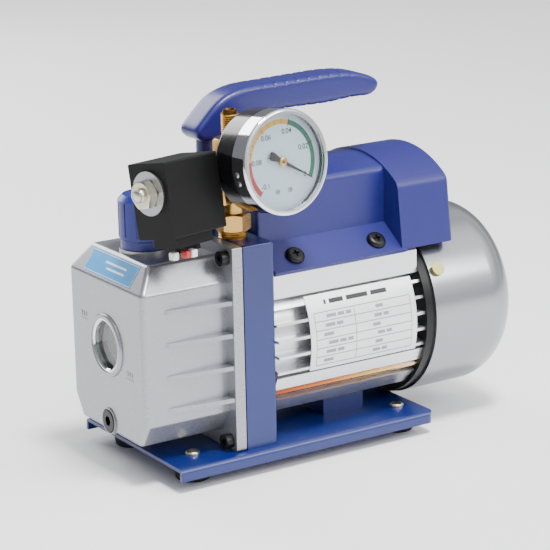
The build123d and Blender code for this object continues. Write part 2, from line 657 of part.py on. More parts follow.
with BuildPart() as cooling_fan:
    with BuildSketch(across(FAN_X0)):
        with Locations((0, SHAFT_Z)):
            Circle(44.0)
            Circle(SHAFT_R, mode=Mode.SUBTRACT)
    extrude(amount=2.0)
    with BuildSketch(across(FAN_X0)):
        with Locations((0, SHAFT_Z)):
            Circle(12.0)
            Circle(SHAFT_R, mode=Mode.SUBTRACT)
    extrude(amount=FAN_X1 - FAN_X0)
    with BuildSketch(across(FAN_X0)):
        with Locations((0, SHAFT_Z)):
            with PolarLocations(28.0, 10):
                Rectangle(33.0, 1.8)
    extrude(amount=16.0)
save(cooling_fan, "cooling_fan")

# ---- fan cover, with concentric slots in its end
with BuildPart() as fan_cover:
    with BuildSketch(across(BELL_X1)):
        with Locations((0, SHAFT_Z)):
            Circle(FAN_COVER_R)
    extrude(amount=FAN_COVER_X1 - BELL_X1)
    fillet(fan_cover.faces().sort_by(Axis.X)[-1].edges(), FAN_COVER_ROUND)
    offset(amount=-FAN_COVER_T, openings=fan_cover.faces().sort_by(Axis.X)[0])
    with BuildSketch(across(FAN_COVER_X1 - 12.0)):
        for radius in (31.5, 24.0, 16.5, 9.0):
            with Locations((0, SHAFT_Z)):
                Circle(radius + 2.2)
                Circle(radius - 2.2, mode=Mode.SUBTRACT)
        with Locations((0, SHAFT_Z)):
            for angle in (0, 60, 120):
                Rectangle(80.0, 5.0, rotation=angle, mode=Mode.SUBTRACT)
    extrude(amount=14.0, mode=Mode.SUBTRACT)
    for angle in COVER_SCREWS:
        with BuildSketch(rim_plane(angle)):
            Circle(2.2)
        extrude(amount=4.0, both=True, mode=Mode.SUBTRACT)
save(fan_cover, "fan_cover")

with BuildPart() as fan_cover_screws:
    for angle in COVER_SCREWS:
        with BuildSketch(rim_plane(angle)):
            Circle(4.4)
        extrude(amount=2.4)
        with BuildSketch(rim_plane(angle)):
            Circle(2.0)
        extrude(amount=-8.0)
save(fan_cover_screws, "fan_cover_screws")

with BuildPart() as motor_cradle:
    with BuildSketch(across(28.0)):
        with Locations((0, (BASE_TOP + 30.0) / 2)):
            Rectangle(50.0, 30.0 - BASE_TOP)
        with Locations((0, SHAFT_Z)):
            Circle(54.0 + 0.05, mode=Mode.SUBTRACT)
    extrude(amount=30.0)
save(motor_cradle, "motor_cradle")

PLATE_ANGLES = (163.0, 211.0)
with BuildPart() as rating_plate:
    with BuildSketch(across(-1.0)):
        with BuildLine():
            turns = [math.radians(a) for a in PLATE_ANGLES]
            mid = (turns[0] + turns[1]) / 2
            r0, r1 = FIN_TIP_R + 0.1, FIN_TIP_R + 0.6
            ends = [[(r * math.cos(t), SHAFT_Z - r * math.sin(t)) for t in (turns[0], mid, turns[1])]
                    for r in (r0, r1)]
            ThreePointArc(*ends[0])
            ThreePointArc(*ends[1])
            Line(ends[0][0], ends[1][0])
            Line(ends[0][2], ends[1][2])
        make_face()
    extrude(amount=79.0)
save(rating_plate, "rating_plate")

# ================================================================ top cover
SIDE_A, EAVE_A, CROWN_A = LEDGE[1][0], 169.3, 175.0
TOP_B, BOTTOM_B, EAVE_B, CROWN_B, SKIRT_B = 44.0, 49.0, 161.0, 176.5, 120.5
_run, _rise = LEDGE[0][0] - LEDGE[1][0], LEDGE[1][1] - LEDGE[0][1]
_length = math.hypot(_run, _rise)
UNDER = (LEDGE[0][0] - COVER_T * _rise / _length, LEDGE[0][1] - COVER_T * _run / _length)
UNDER_IN = (SIDE_A - COVER_T, UNDER[1] + (UNDER[0] - SIDE_A + COVER_T) * _rise / _run)
INLET_Y, SWITCH_Y, PANEL_Z = -19.0, 21.0, 147.5

with BuildPart() as top_cover:
    with BuildSketch(across(COVER_X0)):
        with BuildLine():
            Polyline((-SIDE_A, EAVE_A), (-SIDE_A, LEDGE[1][1]), (-LEDGE[0][0], LEDGE[0][1]),
                     (-UNDER[0], UNDER[1]), (-UNDER_IN[0], UNDER_IN[1]), UNDER_IN, UNDER,
                     LEDGE[0], LEDGE[1], (SIDE_A, EAVE_A))
            ThreePointArc((-SIDE_A, EAVE_A), (0, CROWN_A), (SIDE_A, EAVE_A))
        face_a = make_face()
        eaves = [v for v in face_a.vertices() if v.Y > EAVE_A - 1]
        fillet(eaves, 4.5)
    extrude(amount=COVER_STEP_X + COVER_T - COVER_X0)
    fillet(top_cover.faces().sort_by(Axis.X)[0].edges().filter_by_position(
        Axis.Z, LEDGE[1][1] + 0.5, 200), 2.0)
    with BuildSketch(across(COVER_STEP_X)):
        with BuildLine():
            Polyline((-TOP_B, EAVE_B), (-BOTTOM_B, SKIRT_B), (BOTTOM_B, SKIRT_B), (TOP_B, EAVE_B))
            ThreePointArc((-TOP_B, EAVE_B), (0, CROWN_B), (TOP_B, EAVE_B))
        face_b = make_face()
        fillet([v for v in face_b.vertices() if v.Y > EAVE_B - 1], 8.0)
        with Locations((0, SHAFT_Z)):
            Circle(FAN_COVER_R + 0.8, mode=Mode.SUBTRACT)
    extrude(amount=COVER_X1 - COVER_STEP_X)
    fillet(top_cover.faces().sort_by(Axis.X)[-1].edges().filter_by_position(
        Axis.Z, SKIRT_B + 8, 200), 3.0)
    # room for the motor rails under the front wall of the rear box
    with BuildSketch(across(COVER_X0 - 1)):
        with BuildLine():
            Polyline((-UNDER[0], 100), (-UNDER[0], UNDER[1]), (-UNDER_IN[0], UNDER_IN[1]),
                     UNDER_IN, UNDER, (UNDER[0], 100), close=True)
        make_face()
    extrude(amount=COVER_STEP_X + COVER_T - COVER_X0 + 1, mode=Mode.SUBTRACT)
    # hollow
    with BuildSketch(across(COVER_X0 + COVER_T)):
        with BuildLine():
            Polyline((-UNDER_IN[0], EAVE_A - 2), (-UNDER_IN[0], UNDER_IN[1] - 2),
                     (UNDER_IN[0], UNDER_IN[1] - 2), (UNDER_IN[0], EAVE_A - 2))
            ThreePointArc((-UNDER_IN[0], EAVE_A - 2), (0, CROWN_A - COVER_T),
                          (UNDER_IN[0], EAVE_A - 2))
        make_face()
    extrude(amount=COVER_STEP_X - COVER_X0, mode=Mode.SUBTRACT)
    with BuildSketch(across(COVER_STEP_X + COVER_T)):
        with BuildLine():
            Polyline((-TOP_B + COVER_T, EAVE_B - 2), (-BOTTOM_B + COVER_T, SKIRT_B - 1),
                     (BOTTOM_B - COVER_T, SKIRT_B - 1), (TOP_B - COVER_T, EAVE_B - 2))
            ThreePointArc((-TOP_B + COVER_T, EAVE_B - 2), (0, CROWN_B - COVER_T),
                          (TOP_B - COVER_T, EAVE_B - 2))
        make_face()
    extrude(amount=COVER_X1 - COVER_STEP_X - 2 * COVER_T, mode=Mode.SUBTRACT)
    for x in COVER_SCREW_X:
        for side in (-1, 1):
            with BuildSketch(ledge_plane(x, side)):
                Circle(2.3)
            extrude(amount=-6.0, mode=Mode.SUBTRACT)
    with BuildSketch(across(COVER_X1 - COVER_T - 1)):
        with Locations((INLET_Y, PANEL_Z)):
            Rectangle(27.4, 19.4)
        with Locations((SWITCH_Y, PANEL_Z)):
            Rectangle(19.4, 13.4)
    extrude(amount=COVER_T + 2, mode=Mode.SUBTRACT)
save(top_cover, "top_cover")

with BuildPart() as cover_screws:
    for x in COVER_SCREW_X:
        for side in (-1, 1):
            with BuildSketch(ledge_plane(x, side)):
                Circle(6.2)
            extrude(amount=3.2)
            with BuildSketch(ledge_plane(x, side)):
                Circle(2.0)
            extrude(amount=-14.0)
    for x in COVER_SCREW_X:
        for side in (-1, 1):
            top = ledge_plane(x, side, 3.2)
            rims = cover_screws.edges().filter_by(GeomType.CIRCLE).filter_by(lambda e: e.radius > 6)
            rim = rims.sort_by_distance(top.origin)[0]
            fillet(rim, 2.8)
            with BuildSketch(top):
                Rectangle(5.0, 1.2)
                Rectangle(1.2, 5.0)
            extrude(amount=-1.8, mode=Mode.SUBTRACT)
save(cover_screws, "cover_screws")

PINS = [(INLET_Y, PANEL_Z + 2.0), (INLET_Y - 7.0, PANEL_Z - 2.0), (INLET_Y + 7.0, PANEL_Z - 2.0)]

# ---- power inlet and rocker switch on the back of the cover
with BuildPart() as power_inlet:
    with BuildSketch(across(COVER_X1)):
        with Locations((INLET_Y, PANEL_Z)):
            RectangleRounded(32.0, 24.0, 3.0)
    extrude(amount=2.0)
    with BuildSketch(across(COVER_X1 - 20.0)):
        with Locations((INLET_Y, PANEL_Z)):
            Rectangle(27.0, 19.0)
    extrude(amount=20.0)
    with BuildSketch(across(COVER_X1 - 15.0)):
        with Locations((INLET_Y, PANEL_Z)):
            Rectangle(24.0, 16.0)
    extrude(amount=18.0, mode=Mode.SUBTRACT)
    with BuildSketch(across(COVER_X1 - 15.0)):
        with Locations(*PINS):
            Rectangle(2.0, 4.0)
    extrude(amount=12.0)
save(power_inlet, "power_inlet")

with BuildPart() as switch_frame:
    with BuildSketch(across(COVER_X1)):
        with Locations((SWITCH_Y, PANEL_Z)):
            RectangleRounded(23.0, 17.0, 1.5)
    extrude(amount=2.0)
    with BuildSketch(across(COVER_X1 - 14.0)):
        with Locations((SWITCH_Y, PANEL_Z)):
            Rectangle(19.0, 13.0)
    extrude(amount=14.0)
    with BuildSketch(across(COVER_X1 - 10.0)):
        with Locations((SWITCH_Y, PANEL_Z)):
            Rectangle(16.4, 11.0)
    extrude(amount=14.0, mode=Mode.SUBTRACT)
save(switch_frame, "switch_frame")

# The rocker rests tipped to its off side.
ROCKER_TILT = math.radians(6.0)
with BuildPart() as rocker:
    with BuildSketch(Plane(origin=(COVER_X1 - 1.0, SWITCH_Y + 7.6, PANEL_Z),
                           x_dir=(math.cos(ROCKER_TILT), 0, math.sin(ROCKER_TILT)),
                           z_dir=(0, -1, 0))):
        with BuildLine():
            Polyline((-4.0, -4.4), (2.8, -4.8), (3.6, 0), (2.8, 4.8), (-4.0, 4.4), close=True)
        make_face()
    extrude(amount=15.2)
save(rocker, "switch_rocker")

with BuildPart() as capacitor:
    with BuildSketch(across(0.0)):
        with Locations((0, 150.5)):
            Circle(15.0)
    extrude(amount=58.0)
    fillet(capacitor.edges().filter_by(GeomType.CIRCLE), 1.2)
    with BuildSketch(across(57.0)):
        with Locations((-5.0, 150.5), (5.0, 150.5)):
            Rectangle(0.8, 6.3)
    extrude(amount=9.0)
save(capacitor, "capacitor")

with BuildPart() as capacitor_clip:
    with BuildSketch(across(20.0)):
        with Locations((0, 150.5)):
            Circle(16.2)
            Circle(15.05, mode=Mode.SUBTRACT)
        with Locations((0, 168.8)):
            Rectangle(10.0, 5.6)
        with Locations((0, 150.5)):
            Circle(15.05, mode=Mode.SUBTRACT)
    extrude(amount=14.0)
save(capacitor_clip, "capacitor_clip")

# ================================================================ handle
HANDLE_PROFILE = [
    (-47.0, 198.6), (-50.0, 203.0), (-44.5, 210.8), (-34.0, 220.4), (-22.0, 225.6),
    (0.0, 227.6), (30.0, 228.4), (58.0, 228.2), (73.0, 225.2), (83.5, 217.4), (80.5, 213.0),
    (69.0, 211.4), (50.0, 210.4), (30.0, 210.2), (6.0, 210.2), (-6.0, 208.4), (-17.0, 203.4),
    (-28.0, 198.8), (-39.0, 197.2),
]
with BuildPart() as handle_grip:
    with BuildSketch(Plane.XZ):
        with BuildLine():
            Spline(*HANDLE_PROFILE, periodic=True)
        make_face()
    extrude(amount=HANDLE_W / 2, both=True)
    fillet(handle_grip.faces().filter_by(Axis.Y).edges(), 2.6)
    with Locations(Pos(HANDLE_POST_X, 0, 190.0)):
        Cylinder(HANDLE_POST_R + 0.02, 18.0, align=(Align.CENTER, Align.CENTER, Align.MIN),
                 mode=Mode.SUBTRACT)
save(handle_grip, "handle_grip")

with BuildPart() as handle_post:
    with Locations(Pos(HANDLE_POST_X, 0, BLOCK_TOP)):
        Cylinder(HANDLE_POST_R, 208.0 - BLOCK_TOP, align=(Align.CENTER, Align.CENTER, Align.MIN))
        Cylinder(3.95, 13.0, align=(Align.CENTER, Align.CENTER, Align.MAX))
save(handle_post, "handle_post")

# ================================================================ inlet column
BORE_R = 3.0
NECK_TOP = VALVE_Z[0]

with BuildPart() as inlet_fitting:
    with Locations(Pos(VALVE_X, VALVE_Y, BLOCK_TOP - 9.0)):
        Cylinder(6.5, 9.0, align=(Align.CENTER, Align.CENTER, Align.MIN))
    with Locations(Pos(VALVE_X, VALVE_Y, BLOCK_TOP)):
        Cylinder(8.8, 4.8, align=(Align.CENTER, Align.CENTER, Align.MIN))
    with BuildSketch(valve_plane(BLOCK_TOP + 4.8)):
        RegularPolygon(19.0 / 2, 6, major_radius=False, rotation=30 - VALVE_YAW)
    extrude(amount=10.4)
    with Locations(Pos(VALVE_X, VALVE_Y, BLOCK_TOP + 15.2)):
        Cylinder(6.6, NECK_TOP + 6.0 - BLOCK_TOP - 15.2,
                 align=(Align.CENTER, Align.CENTER, Align.MIN))
    with Locations(Pos(VALVE_X, VALVE_Y, BLOCK_TOP)):
        Cylinder(BORE_R, 90.0, mode=Mode.SUBTRACT)
save(inlet_fitting, "inlet_fitting")

with BuildPart() as valve_body:
    with BuildSketch(valve_plane(VALVE_Z[0])):
        with Locations((-1.5, 0)):
            RectangleRounded(31.0, 20.0, 2.5)
    extrude(amount=VALVE_Z[1] - VALVE_Z[0])
    with BuildSketch(GAUGE.offset(-GAUGE_DEPTH - 10.0)):
        Circle(7.0)
    extrude(amount=8.0)
    with BuildSketch(valve_plane(VALVE_Z[1])):
        Circle(12.0)
    extrude(amount=12.0, mode=Mode.SUBTRACT)
    with BuildSketch(coil_plane(14.0)):
        Circle(9.0)
    extrude(amount=5.0)
    with BuildSketch(coil_plane(12.0)):
        Circle(6.1)
    extrude(amount=8.0, mode=Mode.SUBTRACT)
    with BuildSketch(coil_plane(0.0)):
        Circle(BORE_R)
    extrude(amount=13.0, mode=Mode.SUBTRACT)
    for z, depth in ((VALVE_Z[0], 6.0), (VALVE_Z[1] - 8.0, 8.0)):
        with BuildSketch(valve_plane(z)):
            Circle(6.62)
        extrude(amount=depth, mode=Mode.SUBTRACT)
    with BuildSketch(valve_plane(VALVE_Z[0])):
        Circle(BORE_R)
    extrude(amount=VALVE_Z[1] - VALVE_Z[0], mode=Mode.SUBTRACT)
    with BuildSketch(GAUGE.offset(-GAUGE_DEPTH - 13.0)):
        Circle(4.55)
    extrude(amount=14.0, mode=Mode.SUBTRACT)
save(valve_body, "valve_body")

with BuildPart() as flare_port:
    with BuildSketch(valve_plane(VALVE_Z[1] - 8.0)):
        Circle(6.58)
    extrude(amount=8.0)
    with BuildSketch(valve_plane(VALVE_Z[1])):
        RegularPolygon(19.0 / 2, 6, major_radius=False, rotation=30 - VALVE_YAW)
    extrude(amount=9.0)
    with BuildSketch(valve_plane(VALVE_Z[1] + 9.0)):
        Circle(PORT_THREAD_R)
    extrude(amount=PORT_TOP - VALVE_Z[1] - 9.0)
    chamfer(flare_port.faces().sort_by(Axis.Z)[-1].edges(), 1.3, 2.4)
    with BuildSketch(valve_plane(VALVE_Z[1] - 9.0)):
        Circle(BORE_R)
    extrude(amount=60.0, mode=Mode.SUBTRACT)
save(flare_port, "flare_port")

# ================================================================ solenoid
TUBE_R = 8.0
with BuildPart() as armature_tube:
    with BuildSketch(coil_plane(19.0)):
        Circle(TUBE_R)
    extrude(amount=COIL_FAR + 1.6 - 19.0)
    with BuildSketch(coil_plane(COIL_FAR + 1.6)):
        Circle(4.0)
    extrude(amount=8.6)
    with BuildSketch(coil_plane(18.0)):
        Circle(6.3)
    extrude(amount=38.0, mode=Mode.SUBTRACT)
save(armature_tube, "armature_tube")

with BuildPart() as plunger:
    with BuildSketch(coil_plane(20.0)):
        Circle(6.25)
    extrude(amount=28.0)
save(plunger, "plunger")

with BuildPart() as plunger_spring:
    with BuildSketch(coil_plane(51.2)):
        Circle(5.6)
        Circle(4.8, mode=Mode.SUBTRACT)
    extrude(amount=4.7)
save(plunger_spring, "plunger_spring")

with BuildPart() as coil:
    with BuildSketch(coil_plane(COIL_NEAR)):
        with Locations((0, -COIL_DROP)):
            RectangleRounded(COIL_W, COIL_H, 1.2)
        Circle(TUBE_R + 0.02, mode=Mode.SUBTRACT)
    extrude(amount=COIL_FAR - COIL_NEAR)
save(coil, "coil")

with BuildPart() as coil_washer:
    with BuildSketch(coil_plane(COIL_FAR)):
        Circle(13.0)
        Circle(TUBE_R + 0.02, mode=Mode.SUBTRACT)
    extrude(amount=1.6)
save(coil_washer, "coil_washer")

with BuildPart() as coil_nut:
    with BuildSketch(coil_plane(COIL_FAR + 1.6)):
        RegularPolygon(7.8, 6, major_radius=False, rotation=12)
        Circle(4.02, mode=Mode.SUBTRACT)
    extrude(amount=6.0)
save(coil_nut, "coil_nut")

TERMINAL_T = (40.0, 48.0, 56.0)
with BuildPart() as terminal_block:
    with BuildSketch(coil_plane(34.0)):
        with Locations((3.0, -COIL_DROP - COIL_H / 2 - 3.0)):
            Rectangle(20.0, 6.0)
    extrude(amount=28.0)
    for distance in TERMINAL_T:
        with BuildSketch(coil_plane(distance - 1.5)):
            with Locations((3.0, -COIL_DROP - COIL_H / 2 - 8.0)):
                Rectangle(6.0, 4.0)
        extrude(amount=3.0)
save(terminal_block, "terminal_block")

# ================================================================ vacuum gauge
DIAL_R, GLASS_R = 28.1, 28.6
with BuildPart() as gauge_case:
    with BuildSketch(GAUGE.offset(-GAUGE_DEPTH)):
        Circle(30.8)
    extrude(amount=GAUGE_DEPTH - BEZEL_DEPTH)
    with BuildSketch(GAUGE.offset(-BEZEL_DEPTH)):
        Circle(29.6)
    extrude(amount=BEZEL_DEPTH - 3.0)
    fillet(gauge_case.edges().filter_by(GeomType.CIRCLE).sort_by(
        lambda e: (e.center() - GAUGE.origin).length)[-1], 2.0)
    with BuildSketch(GAUGE.offset(-GAUGE_DEPTH + 1.5)):
        Circle(28.7)
    extrude(amount=GAUGE_DEPTH, mode=Mode.SUBTRACT)
    with BuildSketch(GAUGE.offset(-GAUGE_DEPTH - 2)):
        Circle(5.02)
    extrude(amount=5.0, mode=Mode.SUBTRACT)
save(gauge_case, "gauge_case")

with BuildPart() as gauge_bezel:
    with BuildSketch(GAUGE.offset(-BEZEL_DEPTH)):
        Circle(GAUGE_R)
        Circle(29.62, mode=Mode.SUBTRACT)
    extrude(amount=BEZEL_DEPTH)
    with BuildSketch(GAUGE.offset(-1.8)):
        Circle(30.0)
        Circle(DIAL_R, mode=Mode.SUBTRACT)
    extrude(amount=1.8)
    fillet(gauge_bezel.edges().filter_by(GeomType.CIRCLE).filter_by(
        lambda e: (e.arc_center - GAUGE.origin).length < 0.1).sort_by(SortBy.LENGTH)[-1], 1.8)
save(gauge_bezel, "gauge_bezel")

with BuildPart() as gauge_glass:
    with BuildSketch(GAUGE.offset(-3.4)):
        Circle(GLASS_R)
    extrude(amount=1.6)
save(gauge_glass, "gauge_glass")

with BuildPart() as gauge_dial:
    with BuildSketch(GAUGE.offset(-7.0)):
        Circle(28.6)
        Circle(1.6, mode=Mode.SUBTRACT)
    extrude(amount=0.8)
save(gauge_dial, "gauge_dial")

NEEDLE_REST = -30.0
with BuildPart() as gauge_needle:
    with BuildSketch(GAUGE.offset(-4.8)):
        Circle(2.6)
        with Locations(Rotation(0, 0, NEEDLE_REST)):
            with BuildLine():
                Polyline((-9.0, -1.3), (0, -1.1), (21.5, -0.3), (21.5, 0.3), (0, 1.1), (-9.0, 1.3),
                         close=True)
            make_face()
    extrude(amount=0.8)
    with BuildSketch(GAUGE.offset(-11.2)):
        Circle(1.2)
    extrude(amount=7.4)
save(gauge_needle, "gauge_needle")

with BuildPart() as movement:
    with BuildSketch(GAUGE.offset(-16.2)):
        Rectangle(16.0, 22.0)
        Circle(1.25, mode=Mode.SUBTRACT)
    extrude(amount=5.0)
    with BuildSketch(GAUGE.offset(-15.2)):
        Circle(24.0)
        Circle(20.5, mode=Mode.SUBTRACT)
        with Locations((0, 22.0)):
            Rectangle(60.0, 14.0, mode=Mode.SUBTRACT)
        with Locations((0, -13.0)):
            Rectangle(10.0, 18.0)
    extrude(amount=3.5)
save(movement, "gauge_movement")

with BuildPart() as gauge_stem:
    with BuildSketch(GAUGE.offset(-GAUGE_DEPTH - 6.0)):
        Circle(4.5)
    extrude(amount=6.0)
    with BuildSketch(GAUGE.offset(-GAUGE_DEPTH)):
        Circle(4.98)
    extrude(amount=2.9)
    with BuildSketch(GAUGE.offset(-GAUGE_DEPTH - 6.0)):
        Circle(1.5)
    extrude(amount=8.9, mode=Mode.SUBTRACT)
save(gauge_stem, "gauge_stem")
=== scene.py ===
"""Looks for a single-stage rotary vane vacuum pump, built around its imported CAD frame.

Units are metres. Every position comes from the frame: node boxes, joints or the record.
"""

import json
import math

import bmesh
import bpy
from mathutils import Matrix, Vector

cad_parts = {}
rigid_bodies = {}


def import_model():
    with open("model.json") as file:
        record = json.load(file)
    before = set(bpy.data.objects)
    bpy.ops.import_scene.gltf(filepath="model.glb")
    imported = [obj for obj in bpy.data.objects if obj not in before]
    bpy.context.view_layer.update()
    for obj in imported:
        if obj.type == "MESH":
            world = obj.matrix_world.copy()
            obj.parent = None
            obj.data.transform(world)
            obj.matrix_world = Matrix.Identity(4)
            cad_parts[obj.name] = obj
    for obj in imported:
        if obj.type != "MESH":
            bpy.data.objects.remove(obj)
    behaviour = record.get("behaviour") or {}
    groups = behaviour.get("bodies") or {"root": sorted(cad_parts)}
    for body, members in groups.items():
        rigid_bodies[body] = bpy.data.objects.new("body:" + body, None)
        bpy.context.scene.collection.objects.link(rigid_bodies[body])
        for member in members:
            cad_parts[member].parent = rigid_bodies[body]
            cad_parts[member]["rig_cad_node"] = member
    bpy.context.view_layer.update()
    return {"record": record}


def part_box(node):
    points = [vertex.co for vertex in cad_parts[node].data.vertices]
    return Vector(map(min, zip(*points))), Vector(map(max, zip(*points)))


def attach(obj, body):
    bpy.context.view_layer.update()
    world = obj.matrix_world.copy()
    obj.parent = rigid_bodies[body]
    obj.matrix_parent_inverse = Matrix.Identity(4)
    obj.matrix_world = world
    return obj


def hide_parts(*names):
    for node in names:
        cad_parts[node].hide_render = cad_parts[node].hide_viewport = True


MM = 0.001
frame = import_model()
record = frame["record"]
JOINTS = {joint["name"]: joint for joint in record["behaviour"]["joints"]}


# ---------------------------------------------------------------- colours
def srgb(red, green, blue):
    """An 8-bit screen colour as a linear colour with alpha 1."""

    def linear(value):
        value /= 255
        return value / 12.92 if value <= 0.04045 else ((value + 0.055) / 1.055) ** 2.4

    return linear(red), linear(green), linear(blue), 1.0


def shade(colour, factor):
    return tuple(channel * factor for channel in colour[:3]) + (1.0,)


# ---------------------------------------------------------------- materials
def new_material(name):
    material = bpy.data.materials.new(name)
    material.use_nodes = True
    tree = material.node_tree
    return material, tree, tree.nodes["Principled BSDF"]


def noise(tree, scale, detail=3.0, stretch=(1, 1, 1)):
    """Noise in the row frame; scale is in cells per metre."""
    where = tree.nodes.new("ShaderNodeTexCoord")
    mapping = tree.nodes.new("ShaderNodeMapping")
    mapping.inputs["Scale"].default_value = stretch
    texture = tree.nodes.new("ShaderNodeTexNoise")
    texture.inputs["Scale"].default_value = scale
    texture.inputs["Detail"].default_value = detail
    tree.links.new(where.outputs["Object"], mapping.inputs["Vector"])
    tree.links.new(mapping.outputs["Vector"], texture.inputs["Vector"])
    return texture.outputs["Fac"]


def ramp(tree, source, low, high):
    """Map a 0..1 value to a value between low and high."""
    node = tree.nodes.new("ShaderNodeMapRange")
    node.inputs["From Min"].default_value = 0.3
    node.inputs["From Max"].default_value = 0.7
    node.inputs["To Min"].default_value = low
    node.inputs["To Max"].default_value = high
    tree.links.new(source, node.inputs["Value"])
    return node.outputs["Result"]


def surface(name, colour, metallic=0.0, roughness=(0.4, 0.5), vary=0.06, patches=60.0,
            grain=0.0, grain_size=0.5, stretch=(1, 1, 1), coat=0.0, coat_roughness=0.1,
            specular=0.5):
    """A painted, plated or moulded surface with colour patches, varied roughness and fine grain.

    grain is the bump depth in millimetres and grain_size its width in millimetres.
    """
    material, tree, shader = new_material(name)
    shader.inputs["Metallic"].default_value = metallic
    shader.inputs["Specular IOR Level"].default_value = specular
    shader.inputs["Coat Weight"].default_value = coat
    shader.inputs["Coat Roughness"].default_value = coat_roughness
    cloud = noise(tree, patches, 4.0, stretch)
    mix = tree.nodes.new("ShaderNodeMix")
    mix.data_type = "RGBA"
    mix.inputs["A"].default_value = shade(colour, 1 - vary)
    mix.inputs["B"].default_value = shade(colour, 1 + vary)
    tree.links.new(cloud, mix.inputs["Factor"])
    tree.links.new(mix.outputs["Result"], shader.inputs["Base Color"])
    fine = noise(tree, 1 / (grain_size * MM), 2.0, stretch)
    tree.links.new(ramp(tree, fine, *roughness), shader.inputs["Roughness"])
    if grain:
        bump = tree.nodes.new("ShaderNodeBump")
        bump.inputs["Strength"].default_value = 1.0
        bump.inputs["Distance"].default_value = grain * MM
        tree.links.new(fine, bump.inputs["Height"])
        tree.links.new(bump.outputs["Normal"], shader.inputs["Normal"])
    return material


def clear_glass(name, tint, roughness=0.02):
    material, tree, shader = new_material(name)
    shader.inputs["Base Color"].default_value = tint
    shader.inputs["Transmission Weight"].default_value = 1.0
    shader.inputs["IOR"].default_value = 1.46
    smear = noise(tree, 90.0, 2.0)
    tree.links.new(ramp(tree, smear, roughness, roughness + 0.03), shader.inputs["Roughness"])
    return material


SILVER = srgb(156, 158, 163)
COVER_BLUE = srgb(13, 17, 100)
BLOCK_BLUE = srgb(4, 28, 98)
BLACK = srgb(8, 8, 9)
ALONG_SHAFT = (0.04, 1, 1)

